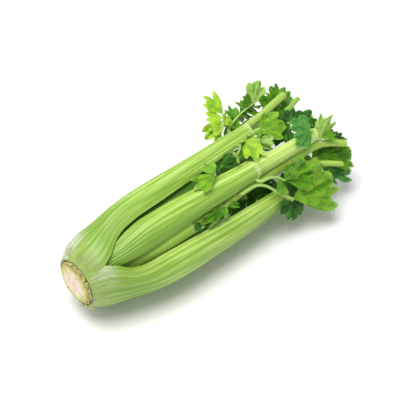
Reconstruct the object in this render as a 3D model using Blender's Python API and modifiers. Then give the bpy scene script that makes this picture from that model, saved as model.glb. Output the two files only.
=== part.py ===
"""A head of celery lying on its side, butt toward -X and leaves toward +X.

Lengths in the tables are millimetres in the head's own frame: x runs along
the head from the cut face of the butt, s runs across the head's upper front
side and d runs outward through the middle of that side. Angles round the
head's axis are degrees, 90 straight up and 180 toward -Y.
"""
import math

import bmesh
import bpy
from mathutils import Vector
from mathutils.bvhtree import BVHTree

# Placing of the head
MM = 0.001
AXIS_HEIGHT = 46.5      # the head's axis above the surface it lies on
CUT_X = -167.2          # X of the cut face
AXIS_Y = 4.5            # Y of the head's axis
FRONT = 126.0           # angle of the side that carries the spread leaves

# Clearances and thicknesses
GAP = 0.35              # between a stem's foot and the stalk it grows from
BLADE = 0.8             # leaf blade
RIB = 0.45              # height of a rib above or below the stalk's skin

# Butt: distance from the cut face and radius of the core
CORE = [(0.0, 20.6), (1.5, 22.4), (10.0, 22.3), (12.0, 20.7), (20.0, 16.4),
        (21.4, 13.4), (31.2, 8.4), (32.2, 5.2), (44.0, 2.4)]
CORE_SIDES = 24

# Stalk sections by layer: x, arc radius, half angle, thickness, edge
OUTER = [(3, 25.6, 61, 2.2, 1.5), (7, 29, 61, 5.2, 2.0), (12, 32.4, 61.5, 7.2, 2.4),
         (20, 36.4, 60.5, 8.3, 2.6), (30, 35.5, 58, 8.8, 2.6), (42, 30, 57.5, 9.2, 2.3),
         (60, 23, 68, 10, 2.7), (80, 20.3, 80, 10, 2.7), (110, 18.8, 86, 9.8, 2.7),
         (150, 17, 84, 9.2, 2.6), (190, 15.6, 82, 8.8, 2.6), (240, 13.4, 80, 8.4, 2.5)]
MIDDLE = [(12.5, 24.8, 48, 2.6, 1.4), (16, 26.4, 42, 4.6, 1.8), (20, 23, 38, 6.2, 2.0),
          (26, 17, 42, 7.2, 2.1), (34, 15, 46, 7.8, 2.2), (44, 15, 51, 8.0, 2.2),
          (60, 15.8, 59, 8.4, 2.3), (80, 15.5, 69, 8.4, 2.5), (110, 14.6, 72, 8.2, 2.5),
          (150, 12.8, 75, 7.8, 2.4), (185, 11.6, 78, 7.6, 2.4), (240, 10.4, 80, 7.6, 2.4)]
INNER = [(22, 17.3, 46, 2.8, 1.4), (27, 17, 45, 4.6, 1.8), (34, 14, 52, 5.6, 2.0),
         (44, 11.5, 62, 6.2, 2.1), (60, 9.8, 72, 6.2, 2.1), (80, 9.2, 76, 6.2, 2.1),
         (100, 9, 78, 6.2, 2.1), (150, 8.4, 80, 6, 2.1), (240, 7, 84, 5.6, 2.0)]
HEART = [(33, 10.6, 60, 2.4, 1.2), (38, 10, 65, 3.6, 1.4), (50, 8.4, 78, 4.4, 1.5),
         (80, 8, 84, 4.8, 1.6), (120, 8.2, 86, 5, 1.6), (240, 7.4, 88, 4.8, 1.6)]

# Stalks: way of the outermost line (x, angle, reach) and, past the joint,
# of the bare upper stem (x, angle, reach, radius)
STALKS = {
    "stalk_outer_a": dict(
        layer=OUTER, ribs=9, girth=0.96, clasp=1.0, wrap=0.92, joint=238,
        way=[(3, 64.5, 25.6), (7, 64.5, 29), (12, 65, 32.6), (20, 66, 36.5), (30, 67, 39.3),
             (42, 67, 41.8), (60, 66.5, 46), (80, 66, 49), (110, 66, 50.2), (150, 66, 49.5),
             (190, 66, 49.4), (232, 65.5, 48.8)],
        stem=[(241, 63, 49.6, 4.7), (262, 61, 51, 4.6), (283, 56.5, 53, 4.5),
              (302, 53, 54.6, 4.3)]),
    "stalk_outer_b": dict(
        layer=OUTER, ribs=9, girth=1.04, clasp=1.0, wrap=1.08, joint=236,
        way=[(3, 189, 25.6), (7, 189, 28.8), (12, 189.5, 32), (20, 190, 35.4), (30, 191, 38.8),
             (42, 192, 42.2), (60, 192, 48.1), (80, 192, 52.2), (110, 192, 54.2),
             (150, 192, 54), (190, 192, 53.2), (230, 192, 51.5)],
        stem=[(239.5, 193, 45, 5.2), (262, 192, 47, 5.0), (284, 190.5, 50, 4.8)]),
    "stalk_outer_c": dict(
        layer=OUTER, ribs=9, girth=0.94, clasp=0.88, wrap=0.98, joint=232,
        way=[(3, 306.5, 25.6), (7, 306.5, 29), (12, 306.5, 32.4), (20, 306, 36), (30, 305, 39.2),
             (42, 304, 42.4), (60, 303, 47.6), (80, 303, 51.4), (110, 303, 53.4),
             (150, 303, 53.4), (190, 303, 53), (226, 303, 51)],
        stem=[(235.5, 302, 45, 5.2), (262, 301, 44, 5.0), (292, 301, 43, 4.6)]),
    "stalk_middle_a": dict(
        layer=MIDDLE, ribs=9, girth=1.0, clasp=1.0, wrap=1.14, joint=208,
        way=[(12.5, 121, 24.8), (16, 121, 26.4), (20, 122, 28), (26, 123, 31),
             (34, 123.5, 34.2), (44, 123.5, 37.4), (60, 122, 42.8), (80, 120.5, 47),
             (110, 121, 48.5), (150, 123, 48.6), (185, 125, 48.2), (203, 126, 48)],
        stem=[(211.5, 126.7, 48, 8.2), (246, 128.4, 48.4, 7.6), (270, 129.4, 48.3, 7.0),
              (291, 129.8, 48, 6.5)]),
    "stalk_middle_b": dict(
        layer=MIDDLE, ribs=9, girth=0.94, clasp=1.0, wrap=1.0, joint=240,
        way=[(12.5, 254, 24.8), (16, 254, 26.4), (20, 254, 28), (26, 254, 31), (34, 253.5, 34.4),
             (44, 252.5, 38.2), (60, 250, 44.4), (80, 248.5, 49), (110, 248, 50.6),
             (150, 247.5, 50.6), (190, 247, 50.2), (234, 246, 49)],
        stem=[(243.5, 246, 45, 4.8), (270, 246, 44, 4.6), (298, 245, 43, 4.3)]),
    "stalk_middle_c": dict(
        layer=MIDDLE, ribs=9, girth=0.96, clasp=1.0, wrap=1.0, joint=234,
        way=[(12.5, 2, 24.8), (16, 2, 26.4), (20, 2, 28.5), (26, 3, 32), (34, 4, 35.4),
             (44, 5, 38.8), (60, 7, 43.4), (80, 8.5, 47.4), (110, 9, 49),
             (150, 9, 49), (190, 10, 48.4), (228, 11, 47.6)],
        stem=[(237.5, 12, 44, 4.8), (266, 13, 44, 4.6), (296, 14, 43.5, 4.3)]),
    "stalk_inner_a": dict(
        layer=INNER, ribs=6, girth=1.0, clasp=1.0, wrap=1.0, joint=121,
        way=[(22, 166, 17.3), (27, 165, 19.2), (34, 163, 23), (44, 160, 27.6), (60, 156, 33),
             (80, 153, 36.8), (100, 151.5, 38.4), (116, 151, 38.6)],
        stem=[(124.5, 150.5, 35.5, 4.4), (155, 149, 36, 4.3), (195, 146.5, 38.5, 4.2),
              (240, 146, 40.5, 4.2), (284, 145.5, 42, 4.4), (291, 146.5, 43, 4.6),
              (296, 149, 43.4, 3.7), (320, 164, 49, 3.5)]),
    "stalk_inner_b": dict(
        layer=INNER, ribs=6, girth=0.94, clasp=1.0, wrap=1.0, joint=235,
        way=[(22, 68, 17.3), (27, 69, 19.2), (34, 73, 22.6), (44, 77, 26), (60, 81, 29.4),
             (80, 83, 31.4), (110, 83, 33), (160, 82, 34), (229, 80, 34.4)],
        stem=[(238.5, 78.5, 33.2, 3.8), (262, 68, 34.8, 3.6), (292, 57.5, 38, 3.4),
              (318, 51, 42, 3.1)]),
    "stalk_inner_c": dict(
        layer=INNER, ribs=6, girth=0.95, clasp=1.0, wrap=1.0, joint=214,
        way=[(22, 292, 17.3), (27, 292, 19.2), (34, 291, 22.4), (44, 288, 25.6), (60, 284, 28.4),
             (80, 282, 29.6), (110, 280, 30), (160, 280, 30), (208, 280, 29.6)],
        stem=[(217.5, 280, 28, 4.2), (250, 279, 27, 4.0), (286, 278, 26, 3.7)]),
    "stalk_heart_a": dict(
        layer=HEART, ribs=6, girth=1.0, clasp=1.0, wrap=1.0, joint=196,
        way=[(33, 35, 10.6), (38, 35, 11.8), (50, 30, 13.6), (80, 24, 15.6), (120, 20, 16.6),
             (190, 20, 17)],
        stem=[(199, 20, 16, 3.4), (250, 24, 16, 3.2), (296, 34, 17, 2.9)]),
    "stalk_heart_b": dict(
        layer=HEART, ribs=6, girth=1.0, clasp=1.0, wrap=1.0, joint=190,
        way=[(33, 215, 10.6), (38, 215, 11.8), (50, 212, 14), (80, 207, 18.6), (120, 203, 24.4),
             (184, 200, 25.4)],
        stem=[(193, 194, 21, 3.6), (222, 160, 19.5, 3.4), (245, 154, 28, 3.2),
              (265, 163, 38, 3.1), (307, 182, 56, 2.9)]),
}

# Outline of a leaflet on one side of its midrib: share of the spread, share
# of the length
LARGE = [(0.0, 1.0), (0.12, 0.90), (0.24, 0.96), (0.38, 0.77), (0.53, 0.93),
         (0.67, 0.79), (0.82, 0.84), (1.0, 0.50)]
SMALL = [(0.0, 1.0), (0.17, 0.87), (0.36, 0.71), (0.57, 0.90), (0.79, 0.72), (1.0, 0.50)]
TINY = [(0.0, 1.0), (0.27, 0.74), (0.54, 0.92), (0.78, 0.71), (1.0, 0.52)]

# Colours and roughness
COLOURS = {
    "butt": ((0.78, 0.66, 0.44), 0.62),
    "stalk_outer": ((0.40, 0.52, 0.14), 0.42),
    "stalk_inner": ((0.55, 0.63, 0.24), 0.42),
    "leaf_yellow": ((0.42, 0.55, 0.10), 0.50),
    "leaf_green": ((0.13, 0.27, 0.05), 0.52),
    "leaf_dark": ((0.05, 0.14, 0.04), 0.55),
    "leaf_blue": ((0.15, 0.28, 0.14), 0.55),
    "leaf_pale": ((0.42, 0.52, 0.28), 0.60),
}
LEAF_COLOUR = {
    "spray_yellow_back": "leaf_yellow", "spray_fan_joint": "leaf_yellow",
    "spray_yellow_gap": "leaf_yellow", "spray_folded_edge": "leaf_yellow",
    "spray_heart": "leaf_yellow",
    "spray_pale_back": "leaf_pale", "spray_pale_curl": "leaf_pale",
    "spray_folded_gap": "leaf_pale", "spray_curled_end": "leaf_pale",
    "spray_dark_gap": "leaf_dark", "spray_slot_dark": "leaf_dark",
    "spray_slot_deep": "leaf_dark", "spray_dark_top": "leaf_dark",
    "spray_dark_front": "leaf_dark", "spray_dark_end": "leaf_dark",
    "spray_blue_top": "leaf_blue", "spray_blue_end": "leaf_blue",
}


def at(x, s, d):
    """Point of the head's frame as a vector in millimetres along X, Y and Z."""
    a = math.radians(FRONT)
    b = math.radians(FRONT - 90.0)
    return Vector((x, s * math.cos(b) + d * math.cos(a), s * math.sin(b) + d * math.sin(a)))


def curve(rows, x):
    """Values of a table at x, following its rows smoothly without overshoot."""
    if x <= rows[0][0]:
        return list(rows[0][1:])
    if x >= rows[-1][0]:
        return list(rows[-1][1:])
    last = len(rows) - 1
    i = max(k for k in range(last) if rows[k][0] <= x)
    h = rows[i + 1][0] - rows[i][0]
    t = (x - rows[i][0]) / h
    out = []
    for c in range(1, len(rows[0])):
        grades = [(rows[k + 1][c] - rows[k][c]) / (rows[k + 1][0] - rows[k][0])
                  for k in range(last)]

        def grade(k):
            if k == 0 or k == last:
                return grades[min(k, last - 1)]
            p, q = grades[k - 1], grades[k]
            return 0.0 if p * q <= 0 else 2 * p * q / (p + q)

        a, b = rows[i][c], rows[i + 1][c]
        out.append(a * (1 + 2 * t) * (1 - t) ** 2 + b * t * t * (3 - 2 * t)
                   + h * t * (1 - t) * ((1 - t) * grade(i) - t * grade(i + 1)))
    return out


def section(spec, x):
    """Arc centre, outward and sideways directions and sizes of a stalk at x."""
    joint = spec["joint"]

    def centre(u):
        if u < joint + 1:
            angle, reach = curve(spec["way"], u)
            radius = curve(spec["layer"], u)[0]
            radius = reach if u <= 20 and radius > reach - 2 else radius * girth(u)
        else:
            angle, reach, radius = curve(spec["stem"], u)
        a = math.radians(angle)
        out = Vector((0, math.cos(a), math.sin(a)))
        return Vector((u, 0, 0)) + out * (reach - radius), out, radius

    def girth(u):
        k = min(max((u - 26) / 34, 0), 1)
        return 1 + (spec["girth"] - 1) * k

    mid, out, radius = centre(x)
    if x < joint + 1:
        half, thick, edge = curve(spec["layer"], x)[1:]
        k = min(max((x - 42) / 38, 0), 1)
        half *= spec["clasp"] + (spec["wrap"] - spec["clasp"]) * k
        rib = RIB * min(max((x - 2) / 26, 0.25), 1) * min(radius / 16, 1)
    else:
        half, thick, edge = 114.0, 1.25 * radius, 0.36 * radius
        rib = RIB * radius / 11
    ahead = Vector((1, 0, 0))
    if not joint - 2 <= x <= joint + 4.5:
        k = min(max((x - 50) / 60, 0), 1)
        drawn = (centre(x + 1)[0] - centre(x - 1)[0]).normalized()
        ahead = ahead.lerp(drawn, k).normalized()
    side = ahead.cross(out).normalized()
    out = side.cross(ahead).normalized()
    return mid, out, side, radius, math.radians(half), thick, edge, rib


def ring(spec, x):
    """Closed ring of points round a stalk: the ribbed back, then the inner face."""
    mid, out, side, radius, half, thick, edge, rib = section(spec, x)
    n = 2 * spec["ribs"]
    points = []
    for i in range(n + 1):
        a = half * (2 * i / n - 1)
        r = radius + (rib if i % 2 else -rib if 0 < i < n else 0)
        points.append(mid + out * (r * math.cos(a)) + side * (r * math.sin(a)))
    wide = (radius - edge) * math.sin(half)
    low = (radius - edge) * math.cos(half)
    rise = radius - thick - low
    m = 6 if n > 12 else 4
    shallow = min(max(radius / thick - 2, 0) / 1.5, 1)
    for i in range(m + 1):
        u = 1 - 2 * i / m
        flat = side * (u * wide) + out * (low + rise * (1 - u * u))
        r = radius - edge - (thick - edge) * (1 - u * u)
        bowed = side * (r * math.sin(u * half)) + out * (r * math.cos(u * half))
        points.append(mid + flat.lerp(bowed, shallow))
    return points


def stations(spec):
    """Places along a stalk at which its rings stand."""
    joint = spec["joint"]
    xs = [row[0] for row in spec["layer"] if row[0] < joint - 16]
    xs += [joint - 9, joint - 1]
    return xs + [row[0] for row in spec["stem"]]


def placed(p):
    """A head-frame point in metres in the model, never below the surface."""
    return Vector((p.x + CUT_X, p.y + AXIS_Y, max(p.z + AXIS_HEIGHT, 0.0))) * MM


def material(name):
    """The plain material of a colour in the table, made once."""
    if name in bpy.data.materials:
        return bpy.data.materials[name]
    colour, rough = COLOURS[name]
    mat = bpy.data.materials.new(name)
    mat.use_nodes = True
    shader = next(n for n in mat.node_tree.nodes if n.type == "BSDF_PRINCIPLED")
    shader.inputs["Base Color"].default_value = (*colour, 1.0)
    shader.inputs["Roughness"].default_value = rough
    mat.diffuse_color = (*colour, 1.0)
    return mat


def solid(name, points, faces, group):
    """Object of one closed mesh with outward faces."""
    mesh = bpy.data.meshes.new(name)
    mesh.from_pydata(points, [], faces)
    bm = bmesh.new()
    bm.from_mesh(mesh)
    bmesh.ops.recalc_face_normals(bm, faces=bm.faces)
    bm.to_mesh(mesh)
    bm.free()
    thing = bpy.data.objects.new(name, mesh)
    group.objects.link(thing)
    return thing


def tube_faces(rings, count):
    """Faces between rings of equal count, with both ends closed."""
    faces = [[j for j in range(count)][::-1],
             [(rings - 1) * count + j for j in range(count)]]
    for i in range(rings - 1):
        for j in range(count):
            k = (j + 1) % count
            a, b = i * count, (i + 1) * count
            faces.append([a + j, a + k, b + k, b + j])
    return faces


def stalk(name, spec, group):
    """One leaf stalk with its bare upper stem."""
    rings = [ring(spec, x) for x in stations(spec)]
    points = [placed(p) for r in rings for p in r]
    return solid(name, points, tube_faces(len(rings), len(rings[0])), group)


def core(name, group):
    """Stem disc of the butt, turned, with the growing point that stands on it."""
    outline = bmesh.new()
    corners = [outline.verts.new((x * MM, 0.0, radius * MM))
               for x, radius in [(CORE[0][0], 0.0)] + CORE + [(CORE[-1][0], 0.0)]]
    for start, end in zip(corners, corners[1:]):
        outline.edges.new((start, end))
    mesh = bpy.data.meshes.new(name)
    outline.to_mesh(mesh)
    outline.free()
    thing = bpy.data.objects.new(name, mesh)
    thing.location = Vector((CUT_X, AXIS_Y, AXIS_HEIGHT)) * MM
    group.objects.link(thing)
    turned = thing.modifiers.new("turned", "SCREW")
    turned.axis = "X"
    turned.steps = turned.render_steps = CORE_SIDES
    turned.use_merge_vertices = True
    turned.merge_threshold = 0.00001
    turned.use_normal_calculate = True
    return thing


def blade(base, tip, up, spread, bend, fold, turn):
    """Points and faces of one thin toothed leaflet, in millimetres."""
    along = tip - base
    length = along.length
    along.normalize()
    up = (up - along * up.dot(along)).normalized()
    side = up.cross(along)
    if length > 34:
        outline, steps = LARGE, (0.4, 0.72, 1.0)
    else:
        outline, steps = (SMALL if length > 19 else TINY), (0.58, 1.0)
    half = [(-a, r) for a, r in outline[:0:-1]] + outline
    rays = []
    for i, (share, reach) in enumerate(half):
        reach *= 1 + 0.07 * math.sin(2.3 * i + 1.7 * turn)
        rays.append((math.radians(spread) * share, reach * length, -1 if i % 2 else 1))

    def mid(angle, r, pleat):
        u, v = r * math.cos(angle), r * math.sin(angle)
        w = pleat * 0.022 * r * min(r / length * 2, 1) + math.radians(fold) * abs(v) * 0.9
        k = math.radians(bend) / length
        x = math.sin(k * u) * (1 / k + w)
        z = math.cos(k * u) * (1 / k + w) - 1 / k
        return base + along * x + side * v + up * z

    n, m = len(rays), len(steps)
    neck = min(0.9, 0.05 * length)
    grid = [[base + side * (k * neck) - along * 0.4 for k in (-1, 0, 1)],
            [mid(0, 1.6, 0) + side * (k * neck) for k in (-1, 0, 1)]]
    for step in steps:
        grid.append([mid(a, r * step, p * (1 if step > 0.5 else 0.6)) for a, r, p in rays])
    normals = [[up] * 3, [up] * 3]
    for i in range(2, len(grid)):
        row = []
        for j in range(n):
            inner = grid[i - 1][j] if i > 2 else grid[1][1]
            outer = grid[i + 1][j] if i + 1 < len(grid) else grid[i][j]
            left, right = grid[i][max(j - 1, 0)], grid[i][min(j + 1, n - 1)]
            row.append((right - left).cross(outer - inner).normalized())
        if row[n // 2].dot(up) < 0:
            row = [-v for v in row]
        normals.append(row)
    top, low = [], []
    for row, norms in zip(grid, normals):
        for p, v in zip(row, norms):
            top.append(p + v * (BLADE / 2))
            low.append(p - v * (BLADE / 2))
    total = len(top)
    faces = []

    def both(a, b, c):
        faces.append([a, b, c])
        faces.append([a + total, c + total, b + total])

    for j in range(2):
        both(j, j + 3, j + 4)
        both(j, j + 4, j + 1)
    third = n // 3
    for j in range(n - 1):
        k = 3 if j < third else 4 if j < n - 1 - third else 5
        both(k, 6 + j, 7 + j)
    both(3, 6 + third, 4)
    both(4, 6 + n - 1 - third, 5)
    for i in range(m - 1):
        a, b = 6 + i * n, 6 + (i + 1) * n
        for j in range(n - 1):
            both(a + j, b + j, b + j + 1)
            both(a + j, b + j + 1, a + j + 1)
    rim = [1, 0, 3] + [6 + i * n for i in range(m)]
    rim += [6 + (m - 1) * n + j for j in range(1, n)]
    rim += [6 + i * n + n - 1 for i in range(m - 2, -1, -1)] + [5, 2]
    for a, b in zip(rim, rim[1:] + rim[:1]):
        faces.append([a, a + total, b + total])
        faces.append([a, b + total, b])
    return top + low, faces


def stem(way, start, end, rise):
    """Points and faces of a thin stem along a smooth way that sets off along rise."""
    rows = []
    run = 0.0
    for i, p in enumerate(way):
        run += (p - way[i - 1]).length if i else 0.0
        rows.append((run, p.x, p.y, p.z))
    last = len(way)
    line = [Vector(curve(rows, run * i / last)) for i in range(last + 1)]
    line.insert(1, line[0] + rise * start)
    tube = bpy.data.curves.new("stem", "CURVE")
    tube.dimensions = "3D"
    tube.bevel_depth = 1.0
    tube.bevel_resolution = 1
    tube.use_fill_caps = True
    spline = tube.splines.new("POLY")
    spline.points.add(len(line) - 1)
    for i, (point, p) in enumerate(zip(spline.points, line)):
        point.co = (*p, 1.0)
        point.radius = start + (end - start) * i / len(line)
    thing = bpy.data.objects.new("stem", tube)
    bpy.context.scene.collection.objects.link(thing)
    view = bpy.context.evaluated_depsgraph_get()
    mesh = bpy.data.meshes.new_from_object(thing.evaluated_get(view))
    bpy.data.objects.remove(thing)
    welded = bmesh.new()
    welded.from_mesh(mesh)
    bmesh.ops.remove_doubles(welded, verts=welded.verts, dist=0.0001)
    points = [v.co.copy() for v in welded.verts]
    faces = [[v.index for v in face.verts] for face in welded.faces]
    welded.free()
    bpy.data.meshes.remove(mesh)
    return points, faces


def united(name, parts, group):
    """One object from overlapping closed meshes."""
    whole = solid(name, *parts[0], group)
    if len(parts) > 1:
        others = bpy.data.collections.new(name + " repeats")
        bpy.context.scene.collection.children.link(others)
        for i, (points, faces) in enumerate(parts[1:]):
            solid("%s repeat %d" % (name, i), points, faces, others)
        join = whole.modifiers.new("union", "BOOLEAN")
        join.operation = "UNION"
        join.operand_type = "COLLECTION"
        join.solver = "EXACT"
        join.collection = others
        bpy.context.view_layer.update()
        view = bpy.context.evaluated_depsgraph_get()
        mesh = bpy.data.meshes.new_from_object(whole.evaluated_get(view))
        whole.modifiers.clear()
        whole.data = mesh
        for thing in list(others.objects):
            bpy.data.objects.remove(thing)
        bpy.data.collections.remove(others)
    return whole


def spray(name, hosts, host, foot, way, widths, leaves, group):
    """Leafy stem: its foot stands just off the stalk it grows from."""
    toward = at(*foot)
    start = at(*way[0])
    tree, direction = hosts[host], (toward - start).normalized()
    hit, normal = tree.ray_cast(start, direction)[:2]
    if hit is None:
        hit, normal = tree.find_nearest(toward)[:2]
    if normal.dot(start - hit) < 0:
        normal = -normal
    normal = (normal - direction).normalized()
    line = [hit + normal * (GAP + 0.25 * widths[0])] + [at(*p) for p in way]
    parts = [stem(line, *widths, normal)]
    for i, (base, tip, up, spread, bend, fold) in enumerate(leaves):
        end = at(*base)
        parts.append(blade(end, at(*tip), at(*up), spread, bend, fold, turn=i + len(name)))
    return united(name, [([placed(p) for p in points], faces) for points, faces in parts],
                  group)


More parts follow.
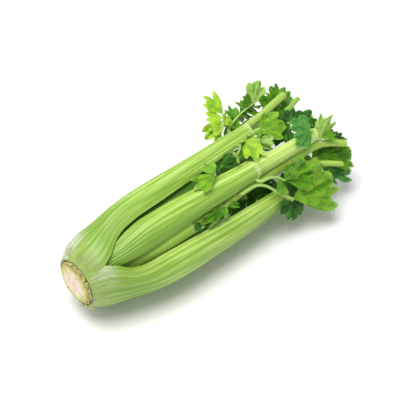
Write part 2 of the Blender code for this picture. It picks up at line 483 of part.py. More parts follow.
# Leafy stems: stalk each grows from, point inside the stalk that the foot
# looks toward, way of the stem, its radius at both ends, and the leaflets as
# base, tip, upper side, spread, bend and fold
SPRAYS = {
    # Upper rear edge of the head
    "spray_yellow_back": (
        "stalk_outer_a", (212, 34, 16), [(213, 47, 12.5), (220, 53, 13.5), (229, 65, 13)],
        (1.5, 1.1),
        [((229, 64.6, 13), (223, 90, 16), (0, 0, 1), 42, 28, 10),
         ((224, 59.4, 13.4), (196, 51.5, 14), (0, 0.1, 1), 32, 18, 10),
         ((221, 54.6, 13.4), (238, 60, 9), (0, -0.2, 1), 40, 10, 10)]),
    "spray_pale_back": (
        "stalk_outer_a", (228, 34, 14), [(228, 46.5, 6), (240, 53, 5), (257, 56.8, 6),
                                         (278, 58.5, 6.4)],
        (1.6, 1.0),
        [((270.6, 58, 6.4), (288, 77, 10), (0, 0.3, -1), 46, 14, 6),
         ((277.6, 58.4, 6.4), (291, 47, 2.6), (0, 0, 1), 48, 10, 5),
         ((247, 54.6, 4.8), (226, 47, -2), (-0.3, 0.6, 0.7), 54, 10, 5),
         ((243, 54, 5.2), (246, 69, 4), (0, 0, 1), 50, 14, 6),
         ((257, 56.6, 5.4), (276, 48, -1), (0, 0.5, 0.8), 54, 14, 5)]),
    "spray_rear_tip": (
        "stalk_middle_c", (280, 36, -16), [(284, 40, -8), (292, 46, 0), (299, 48.6, 3)],
        (1.5, 1.1),
        [((298.6, 48.4, 3), (308, 63, 8), (0, 0, 1), 56, 20, 12),
         ((297, 48, 2.4), (311, 39, 2), (0, 0.2, 1), 40, 20, 10)]),
    "spray_fan_joint": (
        "stalk_outer_a", (235, 32, 26), [(243, 32, 28), (246, 31.4, 31)],
        (2.3, 1.7),
        [((245.6, 31.4, 31), (272, 20.5, 38), (0, 0.1, 1), 56, 16, 6),
         ((245, 31.8, 30.4), (267, 37, 30.6), (0, 0.1, 1), 34, 12, 8),
         ((243.6, 31.2, 30.8), (234, 25.4, 42), (0, 0.7, 0.7), 38, 10, 6)]),
    # Between the rear stalk and the middle one
    "spray_yellow_gap": (
        "stalk_outer_a", (218, 30, 18), [(219, 29.6, 33), (221, 28.4, 37)],
        (1.2, 1.0),
        [((221, 28.2, 37.4), (211, 6, 51), (0.1, 0.6, 0.8), 40, 8, 14)]),
    "spray_pale_curl": (
        "stalk_outer_a", (212, 30, 18), [(213, 28, 34), (208, 25, 40.6), (199.8, 21.4, 44.8)],
        (1.3, 1.1),
        [((200, 21.6, 44.6), (188.8, 14.6, 50), (0, 0.5, -0.85), 60, 26, 8)]),
    "spray_folded_gap": (
        "stalk_inner_b", (230, 24, 18), [(229, 23, 29), (230, 22.5, 35)],
        (1.5, 1.1),
        [((230, 22.4, 35.4), (244, 11.5, 42), (0.2, 0.4, -0.9), 40, 30, 22),
         ((229.6, 22.6, 35), (220, 14, 39), (0, 0.3, 0.95), 46, 15, 8),
         ((229.4, 22, 32.4), (252, 13.6, 29.4), (0, 0.2, 1), 40, 4, 6)]),
    "spray_dark_gap": (
        "stalk_inner_b", (182, 17, 16), [(182, 18, 28), (184, 20, 32)],
        (1.4, 1.0),
        [((184, 20, 32.2), (202, 18.5, 36), (0, 0.1, 1), 52, 20, 8),
         ((183.6, 19.8, 31.8), (171, 22.4, 35), (0, 0, 1), 46, 20, 10)]),
    "spray_folded_edge": (
        "stalk_inner_b", (168, 18, 16), [(168, 17, 30), (166, 16.8, 42.5), (163.5, 15.4, 49.2)],
        (1.3, 1.0),
        [((163.6, 15.2, 49.2), (137, 14.8, 48.6), (0, 0.35, 0.93), 38, 16, 12),
         ((163.6, 15.8, 48.8), (163, 31, 44), (0, 0.5, 1), 50, 12, 10)]),
    # Between the middle stalk and the front one
    "spray_slot_front": (
        "stalk_inner_a", (165, -12, 30), [(164, -14.5, 37.6), (160, -15.6, 38.8)],
        (1.3, 1.0),
        [((160.4, -15.6, 38.8), (131, -18.4, 37.6), (0, -0.15, 1), 22, 6, 6),
         ((161.4, -15.6, 38.4), (175, -20.5, 38), (0, -0.1, 1), 26, 10, 8)]),
    "spray_slot_dark": (
        "stalk_inner_a", (122, -20, 30), [(126, -20.6, 33.5), (130, -20.4, 34.6)],
        (1.3, 1.0),
        [((129.8, -20.4, 34.8), (146, -20.8, 33.5), (0, 0, 1), 22, 8, 8),
         ((128.6, -20, 34.8), (119.6, -16, 38), (-0.3, 0, 1), 44, 15, 10)]),
    "spray_slot_deep": (
        "stalk_heart_b", (184, -16, 6), [(190, -18.6, 14.6), (198, -20, 16.4)],
        (1.5, 1.2),
        [((198, -20, 16.6), (238, -27, 15), (0, 0, 1), 26, 6, 4),
         ((196.6, -20.2, 16.4), (173, -27, 17), (0, -0.1, 1), 34, 8, 6)]),
    # Over the middle stalk's upper stem
    "spray_blue_top": (
        "stalk_middle_a", (284, 0, 40), [(284, 1.5, 51), (281, 2.4, 53.2)],
        (1.6, 1.2),
        [((281, 2, 53.2), (257, -4, 54), (0, 0, 1), 40, 14, 5),
         ((282, 2.6, 52.6), (274, 24, 46), (0, 0.4, 1), 50, 22, 6)]),
    "spray_dark_top": (
        "stalk_inner_b", (270, 28, 16), [(271, 27, 20), (277, 23, 27), (284, 17, 32)],
        (1.6, 1.1),
        [((284, 17, 32), (311, 6, 34), (0, 0.2, 1), 46, 18, 10),
         ((280.6, 20, 29.6), (303, 25, 26), (0, 0.3, 1), 40, 22, 10),
         ((283.4, 17.6, 32), (301, 10, 42), (0, 0.6, 0.8), 46, 16, 8),
         ((279.4, 21.2, 28.8), (283, 37, 22), (0, 0.3, 1), 50, 16, 8),
         ((278.4, 21.8, 28), (253, 12, 33), (0, 0.2, 1), 44, 8, 6)]),
    # From the middle stalk's joint and the slender stem beside it
    "spray_joint_front": (
        "stalk_middle_a", (202, -4, 38), [(205, -12.8, 42.4), (214, -14.8, 45),
                                          (223, -18.6, 44.6), (230, -25.6, 42.4)],
        (2.0, 1.3),
        [((230, -25.4, 42.4), (264.6, -35, 44.6), (0, -0.2, 1), 42, 8, 6),
         ((225.4, -20.4, 44.2), (217, -37, 44), (0.2, -0.2, 1), 34, 10, 12)]),
    "spray_broad_front": (
        "stalk_inner_a", (180, -13, 30), [(182, -13.6, 40), (197, -14, 42), (208, -19, 41),
                                          (219, -32, 38), (232, -46, 33.5)],
        (1.8, 1.5),
        [((231.8, -45.8, 33.5), (291, -54.5, 33), (0, -0.2, 1), 41, 14, 6)]),
    "spray_dark_front": (
        "stalk_outer_b", (226, -33, 14), [(231, -43.4, 28), (233.6, -47.6, 28.4)],
        (1.5, 1.2),
        [((233.6, -47.4, 28), (229, -66, 20), (0, -0.3, 1), 48, 18, 8),
         ((233, -47, 28.3), (214, -52.6, 29), (0, -0.4, 0.9), 46, 16, 8),
         ((233.8, -48, 27.6), (246, -62, 20), (0, -0.3, 0.95), 48, 18, 8),
         ((233, -46.8, 28.8), (255, -35, 33), (0, 0, 1), 40, 10, 8)]),
    # Far end of the head
    "spray_curled_end": (
        "stalk_inner_a", (290, -15, 37), [(292.4, -11.2, 42.2), (293, -8.8, 43)],
        (1.8, 1.3),
        [((293, -8.8, 43), (314, 5.4, 47), (0.1, 0.3, -1), 42, 24, 26),
         ((293.4, -9.6, 42.6), (311, -13.6, 45), (0, 0.3, 0.9), 46, 20, 14)]),
    "spray_dark_end": (
        "stalk_inner_a", (306, -22, 38), [(306.6, -19.6, 33), (310, -19, 31.6)],
        (1.2, 1.0),
        [((309.8, -19, 31.8), (328, -23, 31), (0, 0, 1), 36, 16, 10)]),
    "spray_green_end": (
        "stalk_heart_b", (272, -26, 28), [(275, -23, 22.5), (284, -23, 22), (291, -25, 22)],
        (1.6, 1.2),
        [((290.8, -25, 22), (332, -40, 24), (0, 0, 1), 38, 12, 8),
         ((284, -23.2, 22), (305, -20, 21), (0, 0.1, 1), 46, 14, 8)]),
    "spray_blue_end": (
        "stalk_outer_b", (278, -42, 16), [(287, -43, 20), (296, -42, 18)],
        (1.6, 1.2),
        [((295.8, -42, 18), (325.6, -56, 13), (0, -0.1, 1), 38, 14, 8),
         ((289.6, -43.2, 19), (307, -36, 10), (0, 0.1, 1), 42, 14, 8)]),
    # Rear and underside
    "spray_rear_joint": (
        "stalk_middle_c", (230, 34, -24), [(239, 44.4, -26.5), (250, 45, -30)],
        (1.8, 1.2),
        [((250, 44, -30), (282, 46, -46), (0, 1, -0.1), 52, 16, 6),
         ((248, 44.8, -29.4), (262, 54, -22), (0, 0.6, -0.8), 44, 14, 8)]),
    "spray_rear_low": (
        "stalk_outer_c", (228, 4, -38), [(238, 11, -46), (250, 13, -49)],
        (1.8, 1.2),
        [((250, 13, -49), (284, 15, -54), (0, 0.2, 0.97), 46, 8, 5),
         ((247, 12.6, -48.6), (258, 28, -46), (0, 0.5, 0.85), 44, 12, 8)]),
    "spray_under_end": (
        "stalk_outer_c", (284, -4, -38), [(289, -3, -29), (296, -3, -28)],
        (1.6, 1.2),
        [((296, -3, -28), (325, 2, -30), (0, 0.3, 0.9), 46, 14, 6)]),
    "spray_under_front": (
        "stalk_middle_b", (236, -36, -22), [(246, -42, -14), (255, -44, -11)],
        (1.8, 1.2),
        [((255, -44, -11), (287, -49, -3), (0, -0.7, 0.7), 46, 10, 6),
         ((252, -43.6, -11.2), (264, -51, -6), (0, -0.9, 0.4), 40, 8, 6)]),
    "spray_heart": (
        "stalk_heart_a", (276, 10, 6), [(278, 9, 14), (286, 8, 17), (294, 8, 18)],
        (1.5, 1.1),
        [((294, 8, 18), (322, 2, 16), (0, 0.1, 1), 46, 18, 8),
         ((286, 7.8, 17), (300, -6, 14), (0, -0.2, 1), 44, 14, 8)]),
}


def build():
    for thing in list(bpy.data.objects):
        bpy.data.objects.remove(thing)
    group = bpy.data.collections.new("head_of_celery")
    bpy.context.scene.collection.children.link(group)
    core("core", group).data.materials.append(material("butt"))
    hosts = {}
    for name, spec in STALKS.items():
        colour = "stalk_inner" if spec["layer"] in (INNER, HEART) else "stalk_outer"
        stalk(name, spec, group).data.materials.append(material(colour))
        rings = [ring(spec, x) for x in stations(spec)]
        points = [p for r in rings for p in r]
        hosts[name] = BVHTree.FromPolygons(points, tube_faces(len(rings), len(rings[0])))
    for name, row in SPRAYS.items():
        whole = spray(name, hosts, *row, group)
        whole.data.materials.clear()
        whole.data.materials.append(material(LEAF_COLOUR.get(name, "leaf_green")))


build()
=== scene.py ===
import math

import bmesh
import bpy
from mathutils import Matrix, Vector, noise
from mathutils.bvhtree import BVHTree


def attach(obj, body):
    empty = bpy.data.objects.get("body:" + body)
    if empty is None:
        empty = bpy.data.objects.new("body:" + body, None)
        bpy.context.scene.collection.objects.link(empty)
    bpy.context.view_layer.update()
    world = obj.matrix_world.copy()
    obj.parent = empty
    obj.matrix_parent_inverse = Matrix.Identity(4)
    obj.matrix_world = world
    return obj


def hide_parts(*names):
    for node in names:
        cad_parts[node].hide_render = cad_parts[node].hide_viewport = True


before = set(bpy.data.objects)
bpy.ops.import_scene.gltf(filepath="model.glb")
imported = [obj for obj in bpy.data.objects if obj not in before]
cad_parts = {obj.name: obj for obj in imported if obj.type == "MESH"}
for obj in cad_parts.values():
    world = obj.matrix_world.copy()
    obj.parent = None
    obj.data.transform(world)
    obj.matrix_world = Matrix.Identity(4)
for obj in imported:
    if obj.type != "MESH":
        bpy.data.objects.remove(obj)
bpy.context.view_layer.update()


# The table that the head lies on, with the studio round it: a plain matt top, one
# broad soft light almost straight above, and a white room that fills the shade.
FLOOR_SIDE = 8.0
KEY_FROM = Vector((-0.22, 0.06, 1.0))
KEY_AWAY = 1.6
KEY_SIDE = 1.3
KEY_WATTS = 25.0
ROOM_LIGHT = 0.54


def feed(node, inputs):
    """Gives a node its inputs, each one a value or the output of another node."""
    for key, value in inputs.items():
        if isinstance(value, bpy.types.NodeSocket):
            node.id_data.links.new(value, node.inputs[key])
        else:
            node.inputs[key].default_value = value


def add(tree, kind, inputs=None, **settings):
    """A new shader node with its settings and inputs."""
    node = tree.nodes.new(kind)
    for key, value in settings.items():
        setattr(node, key, value)
    feed(node, inputs or {})
    return node


def shader_of(name):
    """A new material with its node tree, its Principled shader and the place on the piece."""
    material = bpy.data.materials.new(name)
    material.use_nodes = True
    tree = material.node_tree
    shader = next(n for n in tree.nodes if n.type == "BSDF_PRINCIPLED")
    return material, tree, shader, add(tree, "ShaderNodeTexCoord").outputs["Object"]


# The helpers below find the node tree from the first socket that they are given.
def cloud(place, scale, detail):
    """Soft random value that changes over the surface."""
    return add(place.id_data, "ShaderNodeTexNoise", {
        "Vector": place, "Scale": scale, "Detail": detail}).outputs["Fac"]


def ramp(value, stops):
    """Colour read from a list of places and colours."""
    node = add(value.id_data, "ShaderNodeValToRGB", {"Fac": value})
    marks = node.color_ramp.elements
    while len(marks) < len(stops):
        marks.new(1.0)
    for mark, (place, colour) in zip(marks, stops):
        mark.position = place
        mark.color = (*colour, 1.0)
    return node.outputs["Color"]


def table_top():
    """Wide matt top, faintly mottled."""
    top = bmesh.new()
    bmesh.ops.create_grid(top, x_segments=4, y_segments=4, size=FLOOR_SIDE / 2)
    mesh = bpy.data.meshes.new("floor")
    top.to_mesh(mesh)
    top.free()
    material, _, shader, place = shader_of("pale table")
    tone = ramp(cloud(place, 6.0, 3.0), [
        (0.3, (0.94, 0.94, 0.935)), (0.7, (0.96, 0.96, 0.96))])
    feed(shader, {"Base Color": tone, "Roughness": 0.9, "Specular IOR Level": 0.1})
    mesh.materials.append(material)
    floor = bpy.data.objects.new("floor", mesh)
    bpy.context.scene.collection.objects.link(floor)


def studio():
    """White room with one broad soft light."""
    scene = bpy.context.scene
    scene.view_settings.view_transform = "Standard"
    room = bpy.data.worlds.new("white room")
    room.use_nodes = True
    feed(room.node_tree.nodes["Background"], {
        "Color": (1.0, 1.0, 1.0, 1.0), "Strength": ROOM_LIGHT})
    scene.world = room
    lamp = bpy.data.lights.new("soft key", "AREA")
    lamp.shape = "DISK"
    lamp.size = KEY_SIDE
    lamp.energy = KEY_WATTS
    key = bpy.data.objects.new("soft key", lamp)
    away = KEY_FROM.normalized()
    key.location = away * KEY_AWAY
    key.rotation_euler = away.to_track_quat("Z", "Y").to_euler()
    scene.collection.objects.link(key)


# The camera stands where the photograph was taken from: 42 degrees round from the
# head's front and 45 degrees above it. A pixel is a millimetre wide at the head.
CAMERA_TURN = -42.0
CAMERA_LIFT = 45.0
CAMERA_AWAY = 1.3
FILM_WIDTH = 36.0
FRAME_PIXELS = 400
HEAD_MIDDLE = Vector((2.8, 4.5, 46.5))
MIDDLE_PIXEL = (209.0, 198.5)
MM = 0.001


def camera():
    """Camera aimed so that the head lies in the frame as it does in the photograph."""
    turn, lift = math.radians(CAMERA_TURN), math.radians(CAMERA_LIFT)
    back = Vector((math.sin(turn) * math.cos(lift), -math.cos(turn) * math.cos(lift),
                   math.sin(lift)))
    lens = bpy.data.cameras.new("camera")
    lens.sensor_width = FILM_WIDTH
    lens.lens = FILM_WIDTH * CAMERA_AWAY / (FRAME_PIXELS * MM)
    lens.shift_x = -(MIDDLE_PIXEL[0] - FRAME_PIXELS / 2) / FRAME_PIXELS
    lens.shift_y = (MIDDLE_PIXEL[1] - FRAME_PIXELS / 2) / FRAME_PIXELS
    lens.clip_end = 20.0
    eye = bpy.data.objects.new("camera", lens)
    eye.location = HEAD_MIDDLE * MM + back * CAMERA_AWAY
    eye.rotation_euler = back.to_track_quat("Z", "Y").to_euler()
    bpy.context.scene.collection.objects.link(eye)
    bpy.context.scene.camera = eye


table_top()
studio()
camera()


# Butt: the short stem disc that every stalk grows from, sawn and trimmed flat.
# Cream, slightly woody flesh with a dried ochre rim; brown scars round it mark
# where the oldest stalks were cut away, and a grey scrap of one still hangs on.
CUT_X = -167.2
AXIS_Y = 4.5
AXIS_HEIGHT = 46.5
LOWEST = 0.02
CORE = [(0.0, 20.6), (1.5, 22.4), (10.0, 22.3), (12.0, 20.7), (20.0, 16.4),
        (21.4, 13.4), (31.2, 8.4), (32.2, 5.2), (44.0, 2.4)]
FACE_RINGS = 7
TURNS = 96
CORE_RADIUS = 22.3
FACE_MIDDLE = (AXIS_Y + 2.6, AXIS_HEIGHT - 1.8)
SCARS = 22
SCAR_FRONT = 150.0
SCRAP_ANGLE = 244.0
SCRAP_AWAY = 24.2
SCRAP_THICKNESS = 0.6


def mix(factor, a, b, blend="MIX"):
    """Colour between two colours."""
    a, b = (c if isinstance(c, bpy.types.NodeSocket) else (*c, 1.0) for c in (a, b))
    return add(factor.id_data, "ShaderNodeMix", {0: factor, 6: a, 7: b},
               data_type="RGBA", blend_type=blend).outputs[2]


def maths(kind, a, b=0.0):
    """Value worked out from two values."""
    return add(a.id_data, "ShaderNodeMath", {0: a, 1: b}, operation=kind).outputs[0]


def times(a, b):
    """Product of two values."""
    return maths("MULTIPLY", a, b)


def shaken(value, noisy, reach):
    """Value moved up and down by a noisy one, by half of reach each way."""
    return maths("ADD", value, times(maths("SUBTRACT", noisy, 0.5), reach))


def ranged(value, low, high, to_low=0.0, to_high=1.0):
    """Value carried from one range to another, and held at its ends."""
    return add(value.id_data, "ShaderNodeMapRange", {
        "Value": value, "From Min": low, "From Max": high, "To Min": to_low, "To Max": to_high,
    }, interpolation_type="SMOOTHSTEP").outputs["Result"]


def coated(tone, coats):
    """Tone with coats laid over it in turn, each given by its mask and its colour."""
    for mask, colour in coats:
        tone = mix(mask, tone, colour)
    return tone


def sides(place):
    """The X, Y and Z of a place."""
    return add(place.id_data, "ShaderNodeSeparateXYZ", {"Vector": place}).outputs


def cells(place, scale):
    """Distance from the middles of scattered cells."""
    return add(place.id_data, "ShaderNodeTexVoronoi", {
        "Vector": place, "Scale": scale}).outputs["Distance"]


def relief(height, strength, distance):
    """Surface direction for fine bumps of the given height."""
    return add(height.id_data, "ShaderNodeBump", {
        "Height": height, "Strength": strength, "Distance": distance}).outputs["Normal"]


def placed(p):
    """A point of the head, in millimetres, as metres in the model, never below the table."""
    return Vector((p.x + CUT_X, p.y + AXIS_Y, max(p.z + AXIS_HEIGHT, LOWEST))) * MM


def finished(name, bm, materials, node, smooth=True):
    """The piece made from a bmesh: shaded, riding on the head, in place of its plain node."""
    mesh = bpy.data.meshes.new(name)
    bm.to_mesh(mesh)
    bm.free()
    for material in materials:
        mesh.materials.append(material)
    if smooth:
        mesh.shade_smooth()
    piece = bpy.data.objects.new(name, mesh)
    bpy.context.scene.collection.objects.link(piece)
    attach(piece, "root")
    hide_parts(node)
    return piece


def butt_flesh():
    """Cut flesh: cream heart, strand dots, mottled yellow margin and dried rim."""
    material, tree, shader, place = shader_of("cut butt")
    centred = add(tree, "ShaderNodeMapping", {
        "Vector": place, "Location": [-v * MM for v in (CUT_X, *FACE_MIDDLE)]}).outputs["Vector"]
    parts = sides(centred)
    squares = [times(parts[side], parts[side]) for side in "YZ"]
    away = maths("SQRT", maths("ADD", *squares))
    away = shaken(away, cloud(place, 170.0, 3.0), 0.007)
    flesh = ramp(ranged(away, 0.0, 0.0225), [
        (0.0, (0.84, 0.68, 0.56)), (0.50, (0.86, 0.72, 0.58)), (0.68, (0.82, 0.72, 0.40)),
        (0.84, (0.70, 0.66, 0.24)), (0.94, (0.58, 0.52, 0.15)), (1.0, (0.38, 0.34, 0.09))])
    speck = ranged(cells(place, 330.0), 0.16, 0.30, 1.0, 0.0)
    ring = times(ranged(away, 0.008, 0.013), ranged(away, 0.016, 0.021, 1.0, 0.0))
    flesh = mix(times(times(speck, ring), 0.55), flesh, (0.55, 0.42, 0.14))
    blotch = cloud(place, 260.0, 4.0)
    flesh = mix(ranged(blotch, 0.48, 0.66, 0.0, 0.55), flesh, (0.62, 0.60, 0.30), "MULTIPLY")
    flesh = mix(ranged(parts["X"], 0.0016, 0.006), flesh, (0.62, 0.64, 0.40))
    feed(shader, {
        "Base Color": flesh, "Roughness": ranged(blotch, 0.3, 0.7, 0.45, 0.75),
        "Normal": relief(blotch, 0.5, 0.0006)})
    return material


def scar_bark():
    """Dried brown and green-black crust of the leaf scars."""
    material, _, shader, place = shader_of("leaf scar")
    crust = cloud(place, 420.0, 4.0)
    tone = ramp(crust, [
        (0.36, (0.04, 0.05, 0.010)), (0.46, (0.26, 0.26, 0.05)), (0.57, (0.64, 0.60, 0.24))])
    feed(shader, {
        "Base Color": tone, "Roughness": 0.8, "Normal": relief(crust, 0.8, 0.0005)})
    return material


def turned_core(bm):
    """Adds the core: its outline spun round the head's axis, its cut face slightly uneven."""
    outline = [(0.35 + 0.25 * (k / FACE_RINGS) ** 2, CORE[0][1] * k / FACE_RINGS)
               for k in range(FACE_RINGS)] + CORE + [(CORE[-1][0] + 0.6, 0.0)]
    line = [bm.verts.new((x, 0.0, radius)) for x, radius in outline]
    edges = [bm.edges.new(pair) for pair in zip(line, line[1:])]
    bmesh.ops.spin(bm, geom=line + edges, axis=(1, 0, 0), cent=(0, 0, 0), angle=2 * math.pi,
                   steps=TURNS, use_merge=True)
    bmesh.ops.remove_doubles(bm, verts=bm.verts, dist=0.0001)
    bmesh.ops.recalc_face_normals(bm, faces=bm.faces)
    for v in bm.verts:
        p = v.co.copy()
        if p.x < 3:
            uneven = 0.5 * noise.noise(Vector((p.y, p.z, 3.0)) * 0.16)
            wide = 1 + uneven * math.hypot(p.y, p.z) / 500
            p.y *= wide
            p.z *= wide
            p.x += 0.35 * noise.noise(Vector((p.y, p.z, 9.0)) * 0.35) + 0.3
        v.co = placed(p)


def around(x, radius, angle):
    """A point at x along the head, a radius and an angle in radians about its axis."""
    return Vector((x, radius * math.cos(angle), radius * math.sin(angle)))


def leaf_scars(bm):
    """Adds the dried lumps round the rim where old stalks were cut, larger at the front."""
    for k in range(SCARS):
        turn = 2 * math.pi * (k + 0.35 * noise.noise(Vector((k * 3.1, 0.5, 0.0)))) / SCARS
        front = 0.5 + 0.5 * math.cos(turn - math.radians(SCAR_FRONT))
        big = 0.55 + 0.75 * front + 0.45 * noise.noise(Vector((k * 1.7, 4.5, 0.0)))
        lump = bmesh.ops.create_icosphere(bm, subdivisions=2, radius=1.0)["verts"]
        away = CORE_RADIUS + 0.7 * noise.noise(Vector((k * 2.3, 7.5, 0.0)))
        for v in lump:
            q = v.co * (1 + 0.35 * noise.noise(v.co * 1.6 + Vector((k * 5.0, 0, 0))))
            q = Vector((q.x * 1.5 * big, q.y * 1.9 * big, q.z * 1.1 * big))
            v.co = placed(around(1.9 + q.x, away + q.z, turn + q.y / away))
        for face in {f for v in lump for f in v.link_faces}:
            face.material_index = 1


def torn_scrap(bm):
    """Adds the torn scrap of an old stalk that hangs on under the rim."""
    scrap = bmesh.ops.create_grid(bm, x_segments=14, y_segments=10, size=0.5)["verts"]
    for v in scrap:
        u, w = v.co.x + 0.5, v.co.y
        torn = noise.noise(Vector((u * 3.0, w * 5.0, 2.5)))
        x = 0.2 + 10.5 * u * (1 - 0.5 * abs(w)) + 0.8 * torn
        r = SCRAP_AWAY + 0.85 * x + 3.2 * u * u + 3.4 * w + 0.8 * torn
        angle = math.radians(SCRAP_ANGLE + 24 * w * (1.1 - 0.6 * u) + 2 * torn)
        v.co = placed(around(x, r, angle))
    flap = list({f for v in scrap for f in v.link_faces})
    bmesh.ops.recalc_face_normals(bm, faces=flap)
    for face in flap + bmesh.ops.solidify(bm, geom=flap, thickness=SCRAP_THICKNESS * MM)["geom"]:
        if isinstance(face, bmesh.types.BMFace):
            face.material_index = 1


trimmed = bmesh.new()
turned_core(trimmed)
leaf_scars(trimmed)
torn_scrap(trimmed)
finished("butt", trimmed, [butt_flesh(), scar_bark()], "core")


# Outer stalks: the three oldest leaf stalks, each clasping the butt with a thin
# pale foot and opening into a thick ribbed trough of crisp green flesh. At the
# joint the trough ends in a pale step, partly painted highlight, and a bare round
# stem runs on to its cut.
FOOT_X = CUT_X + 3
RIB = 0.3
FINE_RIB = 0.22
RIB_UNEVEN = 0.9
RIB_WANDER = 0.3
BACK_WAVE = 0.3
RIB_STEPS = 10
LIP_STEPS = 5
INNER_STEPS = 22
# A row of OUTER is a place along the head, in millimetres from the cut, and there
# the trough's radius, half its angle, its thickness and that of its lip.
OUTER = [(3, 25.6, 61, 2.2, 1.5), (7, 29, 61, 5.2, 2.0), (12, 32.4, 61.5, 7.2, 2.4),
         (20, 36.4, 60.5, 8.3, 2.6), (30, 35.5, 58, 8.8, 2.6), (42, 30, 57.5, 9.2, 2.3),
         (60, 23, 68, 10, 2.7), (80, 20.3, 80, 10, 2.7), (110, 18.8, 86, 9.8, 2.7),
         (150, 17, 84, 9.2, 2.6), (190, 15.6, 82, 8.8, 2.6), (240, 13.4, 80, 8.4, 2.5)]
# A row of a way is such a place, the angle about the head's axis and how far out the
# stalk's back lies. A row of a stem gives its radius too.
OUTER_STALKS = {
    "stalk_outer_a": dict(
        girth=0.96, wrap=0.92, joint=238,
        way=[(3, 64.5, 25.6), (7, 64.5, 29), (12, 65, 32.6), (20, 66, 36.5), (30, 67, 39.3),
             (42, 67, 41.8), (60, 66.5, 46), (80, 66, 49), (110, 66, 50.2), (150, 66, 49.5),
             (190, 66, 49.4), (232, 65.5, 48.8)],
        stem=[(241, 63, 49.6, 4.7), (262, 61, 51, 4.6), (283, 56.5, 53, 4.5),
              (302, 53, 54.6, 4.3)]),
    "stalk_outer_b": dict(
        girth=1.04, wrap=1.08, joint=236,
        way=[(3, 189, 25.6), (7, 189, 28.8), (12, 189.5, 32), (20, 190, 35.4), (30, 191, 38.8),
             (42, 192, 42.2), (60, 192, 48.1), (80, 192, 52.2), (110, 192, 54.2),
             (150, 192, 54), (190, 192, 53.2), (230, 192, 51.5)],
        stem=[(239.5, 193, 45, 5.2), (262, 192, 47, 5.0), (284, 190.5, 50, 4.8)]),
    "stalk_outer_c": dict(
        girth=0.94, clasp=0.88, wrap=0.98, joint=232,
        way=[(3, 306.5, 25.6), (7, 306.5, 29), (12, 306.5, 32.4), (20, 306, 36), (30, 305, 39.2),
             (42, 304, 42.4), (60, 303, 47.6), (80, 303, 51.4), (110, 303, 53.4),
             (150, 303, 53.4), (190, 303, 53), (226, 303, 51)],
        stem=[(235.5, 302, 45, 5.2), (262, 301, 44, 5.0), (292, 301, 43, 4.6)]),
}


def follow(rows, x):
    """Values of a table at x, smoothly through its rows without overshoot."""
    if x <= rows[0][0]:
        return list(rows[0][1:])
    if x >= rows[-1][0]:
        return list(rows[-1][1:])
    last = len(rows) - 1
    i = max(k for k in range(last) if rows[k][0] <= x)
    h = rows[i + 1][0] - rows[i][0]
    t = (x - rows[i][0]) / h

    def grade(c, k):
        grades = [(rows[j + 1][c] - rows[j][c]) / (rows[j + 1][0] - rows[j][0])
                  for j in range(max(k - 1, 0), min(k + 1, last))]
        if len(grades) == 1:
            return grades[0]
        p, q = grades
        return 0.0 if p * q <= 0 else 2 * p * q / (p + q)

    out = []
    for c in range(1, len(rows[0])):
        a, b = rows[i][c], rows[i + 1][c]
        out.append(a * (1 + 2 * t) * (1 - t) ** 2 + b * t * t * (3 - 2 * t)
                   + h * t * (1 - t) * ((1 - t) * grade(c, i) - t * grade(c, i + 1)))
    return out


def hold(value, low=0.0, high=1.0):
    """Value kept between low and high."""
    return min(max(value, low), high)


def section(spec, x):
    """Arc centre, outward and sideways directions and sizes of a stalk at x."""
    joint = spec["joint"]

    def centre(u):
        if u < joint + 1:
            angle, reach = follow(spec["way"], u)
            radius = follow(spec["layer"], u)[0]
            girth = 1 + (spec["girth"] - 1) * hold((u - 26) / 34)
            # Where the foot clasps the butt, its arc is centred on the head's axis.
            radius = reach if u <= 20 and radius > reach - 2 else radius * girth
        else:
            angle, reach, radius = follow(spec["stem"], u)
        a = math.radians(angle)
        out = Vector((0, math.cos(a), math.sin(a)))
        return Vector((u, 0, 0)) + out * (reach - radius), out, radius

    mid, out, radius = centre(x)
    if x < joint + 1:
        half, thick, edge = follow(spec["layer"], x)[1:]
        clasp = spec.get("clasp", 1.0)
        half *= clasp + (spec["wrap"] - clasp) * hold((x - 42) / 38)
        rib = RIB * hold((x - 2) / 26, 0.25) * min(radius / 16, 1)
    else:
        half, thick, edge = 114.0, 1.25 * radius, 0.36 * radius
        rib = RIB * radius / 11
    ahead = Vector((1, 0, 0))
    if not joint - 2 <= x <= joint + 4.5:
        drawn = (centre(x + 1)[0] - centre(x - 1)[0]).normalized()
        ahead = ahead.lerp(drawn, hold((x - 50) / 60)).normalized()
    side = ahead.cross(out).normalized()
    out = side.cross(ahead).normalized()
    return mid, out, side, radius, math.radians(half), thick, edge, rib


